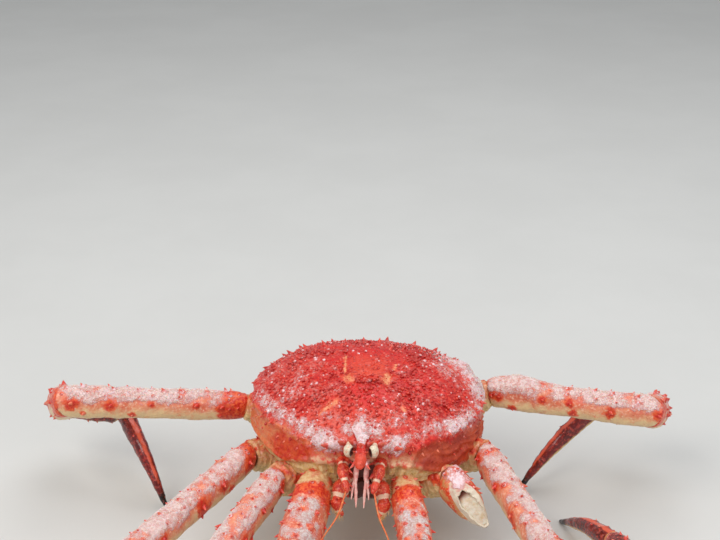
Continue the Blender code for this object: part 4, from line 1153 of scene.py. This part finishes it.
def makeLeg(name, joints):
    joints = [np.array(joint, float) for joint in joints]
    planes = jointPlanes(joints)
    groups = [makeRoot(name, joints, planes, legs["radii"]["base"], legs["rows"]["base"])]
    frosted = []
    for index, part in list(enumerate(legs["parts"]))[1:]:
        last = part == "dactyl"
        radii = legs["radii"][part]
        limb = sectionLimb(joints, index, radii, legs["flatness"], legs["bow"] if last else 0.0, last)
        node = f"{name}_{part}"
        piece = sweepBall(node + "_shell", limb, 60, 84 if part == "merus" else 60)
        cuts = [nearCut(planes[index - 1])] + ([] if last else [farCut(planes[index])])
        for cut in cuts:
            cutEnd(piece, *cut)
        if last:
            flattenTip(piece)
        spines = behindPlanes(limbSpineRoots(limb, legs["rows"][part]), cuts)
        if part == "dactyl":
            shape, around = getMask(piece, "along"), getMask(piece, "around")
            # where the painted highlight lies along the top ridge
            setMask(piece, "ridgeHighlight", 0.8 * smoothStep(0.86, 1.0, around) * smoothStep(0.84, 0.70, shape))
            setMask(piece, "horn", smoothStep(0.80, 0.88, shape))
            setMask(piece, "around", around - 0.35)
        elif part == "propodus":
            clearMasks(piece, "ridgeHighlight", "horn")
        frost = frostOn(piece, legs["frost"][part], 0.08, 0.72)
        kind = "leg" if part in ("merus", "carpus") else "dark"
        bareTo, knobWarmth = legs["looks"][name]
        share = getMask(piece, "along")
        if part == "merus" and name in legs["piles"]:
            middle, reach, height = legs["piles"][name]
            facing = smoothStep(0.0, 0.9, getNormals(piece)[:, 2])
            liftSkin(piece, height * np.exp(-((share - middle) / reach) ** 2) * facing)
        warm = knobWarmth * smoothStep(0.34, 0.08, share) if part == "carpus" else 0.0
        if part == "merus":
            warm = np.maximum(smoothStep(bareTo, bareTo * 0.4, share), knobWarmth * smoothStep(0.90, 0.98, share))
        finishSection(piece, spines, frost, 0.0012, kind, node, warm)
        if not last:
            frosted.append(piece)
            addJointSkin(node + "_skin", planes[index], radii[-1])
        groups.append((bigSpine, spineGroup(spines, 0.56, frost=0.9 * legs["frost"][part], section=index)))
    plantSpines(name + "_spines", groups)
    strewFrost(name + "_frost", frosted)


def flattenTip(piece):
    points = getPoints(piece)
    points[:, 2] = np.maximum(points[:, 2], 0.0)
    setPoints(piece, points)


# claws

claws = dict(
    joints=dict(
        claw_R=((-.022, -.036, .060), (-.037, -.068, .074), (-.047, -.148, .064), (-.047, -.196, .055),
                (-.038, -.268, .033), (-.026, -.330, .006)),
        claw_L=((.022, -.036, .062), (.034, -.068, .077), (.046, -.142, .066), (.052, -.184, .053),
                (.050, -.245, .029), (.042, -.297, .004))),
    size=dict(claw_R=1.0, claw_L=0.80),
    radii=dict(base=(.0140, .0150, .0150), merus=(.0160, .0180, .0190), carpus=(.0170, .0205, .0180)),
    palm=(.0150, .0220, .0210), palmFlatness=0.78, fingers=(.0120, .0090, .0035), spread=0.0112,
    frost=dict(base=0.3, merus=0.63, carpus=0.60, palm=0.62),
    rows=dict(
        base=((0, .4, .7, 2, .003),),
        merus=((0, .14, .88, 7, .0042), (40, .14, .88, 6, .0040), (-40, .14, .88, 6, .0040),
               (85, .16, .85, 6, .0040), (-85, .16, .85, 6, .0040), (130, .3, .8, 3, .003), (-130, .3, .8, 3, .003)),
        carpus=((0, .22, .80, 4, .0056), (40, .25, .78, 4, .0052), (-40, .25, .78, 4, .0050),
                (85, .28, .75, 4, .0044), (-85, .28, .75, 4, .0044),
                (130, .35, .7, 2, .003), (-130, .35, .7, 2, .003)),
        palm=((0, .16, .84, 6, .0050), (32, .2, .82, 6, .0044), (-32, .2, .82, 6, .0044), (65, .2, .8, 6, .0036),
              (-65, .2, .8, 6, .0036), (105, .25, .75, 4, .0026), (-105, .25, .75, 4, .0026))))


def makeClaw(name, joints):
    joints = [np.array(joint, float) for joint in joints]
    size = claws["size"][name]
    planes = jointPlanes(joints)
    groups, frosted = [], []
    rootRadii = [radius * size ** 0.5 for radius in claws["radii"]["base"]]
    groups.append(makeRoot(name, joints, planes, rootRadii, claws["rows"]["base"]))
    for index, part in ((1, "merus"), (2, "carpus")):
        radii = [radius * size for radius in claws["radii"][part]]
        limb = sectionLimb(joints, index, radii, legs["flatness"])
        node = f"{name}_{part}"
        piece = sweepBall(node + "_shell", limb, 64, 64)
        cuts = [nearCut(planes[index - 1]), farCut(planes[index])]
        for cut in cuts:
            cutEnd(piece, *cut)
        spines = behindPlanes(limbSpineRoots(limb, claws["rows"][part], size), cuts)
        frost = frostOn(piece, claws["frost"][part])
        share = getMask(piece, "along")
        warm = 0.35 * smoothStep(0.5, 0.2, share)
        if part == "merus":
            # tan next to the body, then red, then frost
            frost *= smoothStep(0.30, 0.48, share)
            warm = smoothStep(0.50, 0.36, share) * smoothStep(0.24, 0.32, share)
            setMask(piece, "around", getMask(piece, "around") - 1.2 * smoothStep(0.32, 0.24, share))
        finishSection(piece, spines, frost, 0.0015, "claw", node, warm)
        frosted.append(piece)
        addJointSkin(node + "_skin", planes[index], radii[-1])
        groups.append((bigSpine, spineGroup(spines, 0.45, frost=0.8 * claws["frost"][part], section=index)))
    groups.append(makePalm(name, joints, planes, size, frosted))
    plantSpines(name + "_spines", groups)
    strewFrost(name + "_frost", frosted)


def makePalm(name, joints, planes, size, frosted):
    wrist, knuckle, tip = joints[3], joints[4], joints[5]
    forward = unit(tip - knuckle)
    upper = unit(np.array((0, 0, 1)) - forward * forward[2])
    spread = upper * claws["spread"] * size
    radii = [radius * size for radius in claws["palm"]]
    run = radii[0] * min(0.45 + planes[2][2], 1.1)
    limb = limbShape([wrist, knuckle], radii, claws["palmFlatness"], upper, (run, 0.006 * size))
    palm = sweepBall(name + "_palm_shell", limb, 72, 80)
    cut = nearCut(planes[2])
    cutEnd(palm, *cut)
    spines = behindPlanes(limbSpineRoots(limb, claws["rows"]["palm"], size), [cut])
    sizes = [radius * size for radius in claws["fingers"]]
    root = knuckle - forward * 0.014 * size
    lowPath = [root - spread, (knuckle + tip) / 2 - spread * 1.15, tip - spread * 0.35]
    highPath = [root + spread, (knuckle + tip) / 2 + spread * 1.25, tip + spread * 0.45]
    fixed = sweepBall(name + "_fixed_finger", limbShape(lowPath, sizes, 0.9, upper), 40, 56)
    moving = sweepBall(name + "_moving_finger", limbShape(highPath, sizes, 0.9, upper), 40, 56)
    for finger, side in ((fixed, 1), (moving, -1)):
        shape, around = getMask(finger, "along"), getMask(finger, "around") * side
        teeth = np.maximum(np.sin(shape * 46), 0) ** 0.6 * smoothStep(0.75, 0.95, around)
        teeth *= smoothStep(0.28, 0.36, shape) * smoothStep(0.93, 0.85, shape)
        liftSkin(finger, 0.0014 * size * teeth)
        setMask(finger, "horn", np.maximum(smoothStep(0.80, 0.88, shape), 0.9 * (teeth > 0.25)))
        clearMasks(finger, "ridgeHighlight", "spots")
        setMask(finger, "frost", frostOn(finger, 0.35) * smoothStep(0.8, 0.6, shape))
        flattenTip(finger)
        smoothShade(finger, 50)
    frost = frostOn(palm, claws["frost"]["palm"])
    flattenTip(palm)
    finishSection(palm, spines, frost, 0.0012, "claw", name + "_palm")
    putPiece(fixed, materials["finger"], name + "_palm")
    putPiece(moving, materials["finger"], name + "_finger")
    frosted.append(palm)
    return bigSpine, spineGroup(spines, 0.45, frost=0.7, section=3)


def fingerMaterial():
    material, tree, shader = newMaterial("fingerShell")
    grain = useGroup(tree, shellGrain, Base=colours["red"], Deep=colours["deep"], Bright=colours["orange"],
                     Size=0.9, Dots=0.3)
    colour = mixColour(tree, maskOf(tree, "horn"), grain["Color"], colours["horn"])
    finishShell(tree, shader, colour, grain["Height"], 0.32, 0.0004, 0.35)
    return material


def stumpMaterial():
    material, tree, shader = newMaterial("stumpShell")
    place = addNode(tree, "TexCoord").outputs["Object"]
    wander, fine = noiseOf(tree, place, 150, 4, 0.6), noiseOf(tree, place, 500, 4, 0.6)
    warm = mixColour(tree, maskBetween(tree, wander, 0.42, 0.62), colours["tan"], colours["orange"])
    colour = mixColour(tree, maskBetween(tree, fine, 0.55, 0.72), warm, colours["cream"])
    spotted = maths(tree, "MULTIPLY_ADD", fine, 0.6, maskOf(tree, "spots"))
    colour = mixColour(tree, maskBetween(tree, spotted, 0.60, 0.95), colour, colours["wallRed"])
    torn = unevenBy(tree, wander, 0.5, maskOf(tree, "torn"))
    colour = mixColour(tree, maskBetween(tree, torn, 0.45, 0.72), colour, colours["flesh"])
    finishShell(tree, shader, colour, fine, 0.42, 0.0006, 0.2)
    return material


def eyeMaterial():
    # a pale eye with a dark glossy crescent on its inner side
    material, tree, shader = newMaterial("eyeShell")
    place = addNode(tree, "TexCoord").outputs["Object"]
    grain, blotch = noiseOf(tree, place, 900, 3), noiseOf(tree, place, 330, 3)
    pale = mixColour(tree, maskBetween(tree, grain, 0.40, 0.65), rgb(230, 220, 194), rgb(208, 186, 156))
    pale = mixColour(tree, maskBetween(tree, blotch, 0.52, 0.70), pale, rgb(224, 160, 132))
    dark = maskOf(tree, "cornea")
    plug(tree, mixColour(tree, dark, pale, rgb(18, 12, 14)), shader.inputs["Base Color"])
    plug(tree, maths(tree, "MULTIPLY_ADD", dark, -0.38, 0.45), shader.inputs["Roughness"])
    plug(tree, dark, shader.inputs["Coat Weight"])
    addBump(tree, shader, grain, 0.0001)
    return material


def mouthMaterial():
    # orange-red mouthparts with pale edges and joints
    material, tree, shader = newMaterial("mouthShell")
    grain = useGroup(tree, shellGrain, Base=rgb(216, 62, 40), Deep=colours["deep"], Bright=rgb(236, 128, 84),
                     Size=1.6, Dots=0.3)
    place = addNode(tree, "TexCoord").outputs["Object"]
    fine = noiseOf(tree, place, 420, 4, 0.6)
    edge = unevenBy(tree, fine, 0.9, maskOf(tree, "pale"))
    colour = mixColour(tree, maskBetween(tree, edge, 0.40, 0.70), grain["Color"], rgb(240, 206, 176))
    finishShell(tree, shader, colour, grain["Height"], 0.38, 0.0003, 0.3, frosted=False)
    return material


def abdomenMaterial():
    # red behind and cream with orange plates underneath, darker at the seams
    material, tree, shader = newMaterial("abdomenShell")
    grain = useGroup(tree, shellGrain, Base=colours["red"], Deep=colours["deep"], Bright=colours["bright"],
                     Size=1.0, Dots=0.4)
    place = addNode(tree, "TexCoord").outputs["Object"]
    wander, fine = noiseOf(tree, place, 90, 4, 0.6), noiseOf(tree, place, 420, 4, 0.6)
    pale = mixColour(tree, maskBetween(tree, fine, 0.40, 0.64), rgb(228, 198, 152), rgb(222, 164, 116))
    pale = mixColour(tree, maskBetween(tree, wander, 0.50, 0.70), pale, rgb(222, 112, 72))
    pale = mixColour(tree, maths(tree, "MULTIPLY", maskOf(tree, "seam"), 0.6), pale, rgb(168, 84, 52))
    redder = unevenBy(tree, wander, 0.9, maskOf(tree, "red"))
    colour = mixColour(tree, maskBetween(tree, redder, 0.30, 0.75), pale, grain["Color"])
    finishShell(tree, shader, colour, maths(tree, "ADD", grain["Height"], fine), 0.42, 0.0006, 0.25, frosted=False)
    return material


materials["finger"] = fingerMaterial()
materials["abdomen"] = abdomenMaterial()
materials["stump"] = stumpMaterial()
materials["eye"] = eyeMaterial()
materials["mouth"] = mouthMaterial()


# broken leg

stump = dict(joints=((.044, -.036, .063), (.070, -.060, .077), (.100, -.096, .059)),
             radii=(.0135, .0146, .0118, .0036), breakNormal=(0, -.82, .57), breakDepth=0.0065,
             wall=0.0013, fleshDepth=0.0046,
             rows=((15, .2, .55, 4, .0040), (60, .2, .6, 4, .0038), (-45, .2, .5, 3, .0036), (100, .3, .6, 3, .0030)))


def makeStump():
    joints = [np.array(joint, float) for joint in stump["joints"]]
    planes = jointPlanes(joints)
    makeRoot("leg1_L", joints, planes, legs["radii"]["base"], legs["rows"]["base"])
    cut = nearCut(planes[0])
    limb = sectionLimb(joints, 1, stump["radii"], legs["flatness"], last=True)
    shell = sweepBall("leg1_L_stump_shell", limb, 80, 96)
    cutEnd(shell, *cut)
    breakNormal = unit(np.array(stump["breakNormal"]))
    breakPoint = (joints[1] + joints[2] * 2) / 3 + breakNormal * stump["breakDepth"]
    spines = behindPlanes(limbSpineRoots(limb, stump["rows"]), [cut, (breakPoint, breakNormal)])
    points = getPoints(shell)
    torn = np.maximum(smoothStep(0.0055, 0.001, (breakPoint - points) @ breakNormal),
                      smoothStep(0.66, 0.86, getMask(shell, "along")))
    setMask(shell, "torn", torn)
    # a ragged edge: the skin is pushed along the break before it is cut
    points += breakNormal * (roughNoise(points, 0.010, 4) * 0.0034)[:, None] * torn[:, None]
    setPoints(shell, points)
    sliceOff(shell, breakPoint, breakNormal, fill=False)
    thick = shell.modifiers.new("thickness", "SOLIDIFY")
    thick.thickness = stump["wall"]
    thick.offset = -1
    bpy.ops.object.modifier_apply(modifier="thickness")
    frost = frostOn(shell, 0.85, 0.45, 0.95) * smoothStep(0.62, 0.40, getMask(shell, "along"))
    finishSection(shell, spines, frost, 0.0010, "stump", "leg1_L_stump")
    flesh = sweepBall("leg1_L_flesh", limbShape(limb["points"], np.array(stump["radii"]) * 0.86, 0.86,
                                               limb["up"], squareness=2.2), 48, 64)
    points = getPoints(flesh)
    outward = (points - joints[1]) @ unit(joints[2] - joints[1])
    shadedHollow = smoothStep(0.030, 0.014, outward)
    beyond = (points - breakPoint) @ breakNormal + 0.0010 + stump["fleshDepth"] * shadedHollow
    # painted shadow: the flesh turns reddish brown where the shell overhangs the deeper part of the hollow
    setMask(flesh, "shadedHollow", smoothStep(0.10, 0.60, shadedHollow))
    sunk = np.where(beyond > 0, beyond + 0.0016 * np.abs(roughNoise(points, 0.004, 4)), 0)
    setPoints(flesh, points - breakNormal * sunk[:, None])
    smoothShade(flesh, 60)
    putPiece(flesh, materials["flesh"])
    group = spineGroup(spines, 0.42, frost=0.8)
    plantSpines("leg1_L_spines", [(bigSpine, group)])


# face

face = dict(
    rostrum=((0, -.060, .1225), (0, -.085, .1215), (0, -.1045, .1135)),
    rostrumRadii=(.0104, .0090, .0050, .0032, .0032, .0041, .0040, .0022),
    # foot, tip and width of each spine on a side
    rostrumSpines=(((.0030, -.0960, .1160), (.0082, -.1040, .1105), .0021),
                   ((.0022, -.0890, .1190), (.0062, -.0960, .1225), .0017),
                   ((0.0, -.084, .1190), (0.0, -.0905, .1265), .0032),
                   ((.0045, -.078, .1195), (.0105, -.0865, .1255), .0028),
                   ((.0140, -.0700, .1160), (.0185, -.0870, .1225), .0036),
                   ((.0250, -.0680, .1120), (.0320, -.0850, .1170), .0036)),
    eyePlace=(.0098, -.0700, .1165), eyeRadius=.0045, eyeReach=.0165, eyeRise=.0025,
    antenna=((.0155, -.0680, .1010), (.0140, -.0880, .1000), (.0100, -.1020, .0900)),
    antennaRadii=(.0046, .0052, .0053, .0036, .0046, .0048, .0040, .0027, .0032, .0030, .0020),
    flagellum=((.0105, -.0985, .0920), (.0155, -.1200, .0830), (.0225, -.1440, .0830), (.0275, -.1700, .0900),
               (.0330, -.1980, .1050)), flagellumRadii=(.0008, .0003),
    antennule=((.0042, -.0660, .1010), (.0040, -.0880, .0960), (.0030, -.1040, .0780)),
    antennuleRadii=(.0027, .0026, .0016, .0022, .0019, .0011, .0014, .0011, .0005),
    maxilliped=((.0110, -.0520, .0790), (.0155, -.0780, .0810), (.0185, -.0920, .0720), (.0150, -.0950, .0620)),
    maxillipedRadii=(.0062, .0072, .0070, .0050, .0070, .0068, .0046, .0058, .0048, .0032, .0036, .0018))


def mirrored(path, side):
    return [(x * side, y, z + x * side * math.sin(carapace["lean"])) for x, y, z in path]


def makeFeeler(name, path, radii, material, node=None, rings=72, segments=24, paleAt=(), flatness=1.0,
               edges=0.0):
    # a jointed feeler: pale where its joints are and along its edges
    limb = limbShape(path, radii, flatness, endPower=5.0, squareness=2.1)
    piece = sweepBall(name, limb, segments, rings)
    share = getMask(piece, "along")
    pale = np.zeros(len(share))
    for place in paleAt:
        pale = np.maximum(pale, np.exp(-((share - place) / 0.035) ** 2))
    pale = np.maximum(pale, edges * smoothStep(0.45, 0.05, np.abs(getMask(piece, "around"))))
    setMask(piece, "pale", pale)
    liftSkin(piece, roughNoise(getPoints(piece), 0.003, 3) * 0.0005)
    smoothShade(piece, 60)
    putPiece(piece, materials[material], node)
    return limb


def plantOn(limb, angles, shares, heights, width, lean=0.3):
    def point(angle, t):
        return limbPoint(limb, angle, t)

    angles, shares = np.asarray(angles, float), np.asarray(shares, float)
    foot = point(angles, shares)
    normal, onward = skinNormal(point, (foot + point(angles + math.pi, shares)) / 2, angles, shares)
    count = len(foot)
    return dict(roots=foot, normals=unit(normal + onward * lean), onwards=onward,
                heights=np.asarray(heights, float) * np.ones(count), widths=np.full(count, width),
                tint=chance.uniform(0, 1, count), frost=np.zeros(count),
                patch=np.stack((0.5 + 0.4 * np.sin(angles), shares), -1))


def makeFace():
    for side, letter in ((1, "L"), (-1, "R")):
        makeEye(side, letter)
        name = "antenna_" + letter
        peduncle = makeFeeler(name + "_stem", mirrored(face["antenna"], side), face["antennaRadii"], "mouth", name,
                              paleAt=(0.30, 0.70), segments=32, edges=0.55)
        whip = addWhip(name + "_whip", mirrored(face["flagellum"], side), face["flagellumRadii"])
        putPiece(whip, materials["feeler"], name)
        out = math.pi / 2 * side
        groups = [plantOn(peduncle, [out, out + 0.8, math.pi, out - 0.3, out + 0.5, math.pi + 0.4, out],
                          [.16, .24, .26, .50, .60, .62, .82],
                          [.006, .004, .0034, .0042, .0036, .003, .003], .0013, 0.9)]
        name = "antennule_" + letter
        makeFeeler(name + "_stem", mirrored(face["antennule"], side), face["antennuleRadii"], "pale", name,
                   segments=20)
        branch = [(x * side, y, z) for x, y, z in
                  ((.0044, -.0860, .0960), (.0062, -.0960, .0900), (.0068, -.1020, .0840))]
        makeFeeler(name + "_branch", branch, (.0014, .0011, .0004), "pale", name, segments=12, rings=24)
        name = "maxilliped_" + letter
        leg = makeFeeler(name + "_leg", mirrored(face["maxilliped"], side), face["maxillipedRadii"], "mouth", name,
                         paleAt=(0.27, 0.52, 0.80), flatness=0.95, segments=32, rings=96, edges=0.8)
        count = 90
        inner = -math.pi / 2 * side + chance.normal(0, 0.35, count)
        share = chance.uniform(0.30, 0.97, count)
        bristles = plantOn(leg, inner, share, chance.uniform(.0018, .0042, count), .00022, 0.5)
        plantSpines(name + "_bristles", [(smallSpine, bristles)], 0.4, "bristle")
        outer = plantOn(leg, [out, out, out + .5, out - .4, math.pi, math.pi], [.15, .38, .45, .62, .35, .6],
                        [.0034, .0030, .0026, .0024, .0026, .0022], .0010, 0.8)
        plantSpines(name + "_spines", [(bigSpine, group) for group in groups + [outer]])


def addWhip(name, path, radii):
    # a long feeler of many short rings
    limb = limbShape(path, radii, 1.0, endPower=8.0)
    whip = sweepBall(name, limb, 12, 320)
    points, share = getPoints(whip), getMask(whip, "along")
    middle = along(limb["points"], share)
    setPoints(whip, middle + (points - middle) * (1 + 0.16 * np.sin(share * 110 * 2 * math.pi))[:, None])
    smoothShade(whip, 60)
    return whip


def makeEye(side, letter):
    root = np.array(mirrored([face["eyePlace"]], side)[0])
    middle = root + np.array((0, -face["eyeReach"], face["eyeRise"]))
    stalk = sweepBall("eye_stalk", limbShape((root, (root + middle) / 2, middle), (.0034, .0028, .0036), 1.0), 24, 24)
    setMask(stalk, "cornea", 0.0)
    ball = addBall("eye_" + letter + "_ball", 48, 32)
    direction = getPoints(ball)
    inward = unit(np.array((-side * 0.86, -0.50, -0.05)))
    setMask(ball, "cornea", smoothStep(0.66, 0.73, direction @ inward))
    setPoints(ball, middle + direction * face["eyeRadius"] * np.array((0.90, 0.95, 1.22)))
    onlySelect(ball, stalk)
    bpy.ops.object.join()
    smoothShade(ball, 60)
    putPiece(ball, materials["eye"], "eye_" + letter)


def makeRostrum():
    limb = limbShape(face["rostrum"], face["rostrumRadii"], 1.15, squareness=2.1)
    piece = sweepBall("rostrum_shell", limb, 56, 72)
    share = getMask(piece, "along")
    liftSkin(piece, roughNoise(getPoints(piece), 0.005, 3) * 0.0011)
    setMask(piece, "frost", np.clip(frostOn(piece, 1.1) * smoothStep(0.60, 0.36, share), 0, 1))
    setMask(piece, "orange", smoothStep(0.62, 0.80, share))
    clearMasks(piece, "cream", "groove", "wall", "margin", "wallShade", "ember", "face", "vivid", "shadedHollow")
    smoothShade(piece, 60)
    putPiece(piece, materials["carapace"], "carapace")
    roots, normals, heights, widths = [], [], [], []
    for root, tip, radius in face["rostrumSpines"]:
        for side in ((1, -1) if root[0] else (1,)):
            foot, top = (np.array(place) for place in mirrored((root, tip), side))
            roots.append(foot), normals.append(unit(top - foot))
            heights.append(np.linalg.norm(top - foot)), widths.append(radius)
    count = len(roots)
    return piece, dict(roots=np.array(roots), normals=np.array(normals), onwards=np.tile((0.0, 0.0, 1.0), (count, 1)),
                       heights=np.array(heights), widths=np.array(widths), tint=np.full(count, 0.6),
                       frost=np.full(count, 0.55),
                       patch=np.stack((np.linspace(.3, .7, count), np.full(count, .95)), -1))


# underside: thorax and abdomen

under = dict(
    share=0.86, bottom=0.068,
    rows=((0, .05, .30, 4, .0036), (22, .05, .30, 5, .0034), (-22, .05, .30, 5, .0034), (42, .06, .28, 4, .0032),
          (-42, .06, .28, 4, .0032)),
    path=((0.0, .064, .085), (0.0, .082, .070), (0.0, .074, .049), (0.0, .035, .0395), (0.0, -.034, .0420)),
    widths=(.046, .054, .053, .048, .018), thickness=(.0070, .0088, .0090, .0085, .0050),
    plates=((0.20, 0.0, .016, .0070, .0026), (0.20, .030, .013, .0075, .0026), (0.20, -.030, .013, .0075, .0026),
            (0.33, 0.0, .014, .0080, .0026), (0.33, .032, .016, .0085, .0028), (0.33, -.029, .013, .0080, .0024),
            (0.48, 0.0, .014, .0085, .0026), (0.48, .032, .017, .0095, .0028), (0.48, -.029, .013, .0085, .0024),
            (0.64, 0.0, .013, .0085, .0024), (0.64, .028, .014, .0090, .0026), (0.64, -.026, .012, .0085, .0024),
            (0.80, 0.0, .014, .0085, .0022)))


def makeThorax():
    piece = addBall("thorax_shell", 128, 96)
    angle, share = ballAngles(piece)
    wall = smoothTable(*zip(*carapace["wall"]), np.abs(np.degrees(angle)))
    radius = under["share"] * wall * np.sin(math.pi * share) ** 0.55
    middle = -carapace["marginDrop"] - 0.006
    depth = under["bottom"] + middle
    rise = np.cos(math.pi * share)
    height = middle + depth * np.sign(rise) * np.abs(rise) ** 0.8
    points = bodyTurn(np.stack((radius * np.sin(angle), -radius * np.cos(angle), height), -1))
    setPoints(piece, points)
    fixNormals(piece)
    # grooves between the plates that carry the legs
    line = np.zeros(len(points))
    for start, end in (((0, -.052), (.09, -.060)), ((0, -.030), (.10, -.020)), ((0, -.006), (.10, .022)),
                       ((0, .016), (.10, .062)), ((0, -.07), (0, .08))):
        for side in (1, -1):
            distance = lineDistance(points[:, :2] * (side, 1), start, end)
            line = np.maximum(line, np.exp(-(distance / 0.0022) ** 2))
    liftSkin(piece, -0.0016 * line + 0.0012 * roughNoise(points, 0.010, 3))
    mouth = np.hypot(points[:, 0] / 0.020, (points[:, 1] + 0.070) / 0.030)
    # painted shade: dark brown in the mouth's cavity, where the mouthparts shadow it
    setMask(piece, "shadedHollow", smoothStep(1.25, 0.75, mouth + 0.6 * roughNoise(points, 0.010, 3)))
    turn = bodyTurn(np.array(((0, -carapace["marginRise"], 1),)), False)[0]
    turn = unit(turn)
    low = bodyTurn(np.array(((0, 0, -carapace["marginDrop"]),)))[0] - turn * 0.0003
    sliceOff(piece, low, turn)
    smoothShade(piece, 60)
    putPiece(piece, materials["under"], "thorax")


def makeAbdomen():
    limb = limbShape(under["path"], under["thickness"], across=(1, 0, 0), widths=under["widths"], endPower=4.0)
    piece = sweepBall("abdomen_shell", limb, 128, 150)
    points, normals = getPoints(piece), getNormals(piece)
    lift = 0.0006 * roughNoise(points, 0.006, 3)
    edge = np.zeros(len(points))
    for share, aside, halfWidth, halfLength, rise in under["plates"]:
        angle = math.pi - math.asin(aside / along(under["widths"], [share])[0])
        centre, left, right = limbPoint(limb, [angle, angle + 0.05, angle - 0.05], [share] * 3)
        side = unit(left - right)
        onward = unit(np.diff(along(limb["points"], [share - 0.01, share + 0.01]), axis=0)[0])
        away = points - centre
        u, v = away @ side / halfWidth, away @ onward / halfLength
        reach = (np.abs(u) ** 3 + np.abs(v) ** 3) ** (1 / 3)
        near = np.linalg.norm(away, axis=1) < 0.030
        outward = unit(np.cross(side, onward))
        facing = np.abs(normals @ outward) > 0.5
        sameSide = normals @ normals[np.argmin(np.linalg.norm(away, axis=1))] > 0.3
        keep = near & facing & sameSide
        lift += keep * rise * 0.9 * smoothStep(1.12, 0.78, reach)
        edge = np.maximum(edge, keep * np.exp(-((reach - 1.05) / 0.12) ** 2))
    liftSkin(piece, lift)
    share = getMask(piece, "along")
    setMask(piece, "seam", edge)
    setMask(piece, "red", smoothStep(0.42, 0.16, share + 0.15 * roughNoise(points, 0.012, 3)))
    smoothShade(piece, 60)
    putPiece(piece, materials["abdomen"], "abdomen")
    spines = limbSpineRoots(limb, under["rows"])
    plantSpines("abdomen_spines", [(bigSpine, spineGroup(spines, 0.6))])


# everything is made in this order, which also keeps the order of the random draws
print("carapace")
makeCarapace()
print("legs")
for legName, legJoints in legs["joints"].items():
    makeLeg(legName, legJoints)
print("claws")
for clawName, clawJoints in claws["joints"].items():
    makeClaw(clawName, clawJoints)
print("broken leg, face and underside")
makeStump()
makeFace()
makeThorax()
makeAbdomen()
print("floor, light and camera")

# floor, light and camera

stage = dict(size=8.0, cameraPlace=(0.0476, -0.9081, 0.640), lookAlong=(-0.0538, 0.9121, -0.4065),
             lens=61.69, sensor=36.0, worldColour=(0.93, 0.96, 1.0, 1), worldStrength=0.48,
             # name, place, what it points at, size, power and colour
             lights=(("key_light", (-0.9, -0.9, 1.6), (0, 0, 0.05), 1.2, 22, (1.0, 0.98, 0.95)),
                     ("top_light", (0.3, 0.5, 1.9), (0, 0, 0.05), 1.6, 18.5, (0.95, 0.97, 1.0)),
                     ("fill_light", (1.3, -1.0, 0.9), (0, 0, 0.05), 1.2, 7.5, (0.95, 0.97, 1.0))))

bpy.ops.object.select_all(action="DESELECT")
bpy.ops.mesh.primitive_plane_add(size=stage["size"], location=(0, 0, -0.0002))
floor = bpy.context.object
floor.name = "floor"
floor.data.materials.append(materials["floor"])


def softLight(name, place, target, size, power, tint):
    bpy.ops.object.light_add(type="AREA", location=place)
    light = bpy.context.object
    light.name = name
    light.data.size = size
    light.data.energy = power
    light.data.color = tint
    light.rotation_euler = (Vector(target) - Vector(place)).to_track_quat("-Z", "Y").to_euler()


for lightSettings in stage["lights"]:
    softLight(*lightSettings)
world = bpy.context.scene.world or bpy.data.worlds.new("studio")
bpy.context.scene.world = world
world.use_nodes = True
backdrop = world.node_tree.nodes["Background"].inputs
backdrop["Color"].default_value, backdrop["Strength"].default_value = stage["worldColour"], stage["worldStrength"]

bpy.ops.object.camera_add(location=Vector(stage["cameraPlace"]) + crabShift)
camera = bpy.context.object
camera.data.lens = stage["lens"]
camera.data.sensor_width = stage["sensor"]
camera.rotation_euler = Vector(stage["lookAlong"]).to_track_quat("-Z", "Y").to_euler()
bpy.context.scene.camera = camera
bpy.context.scene.view_settings.view_transform = "Standard"
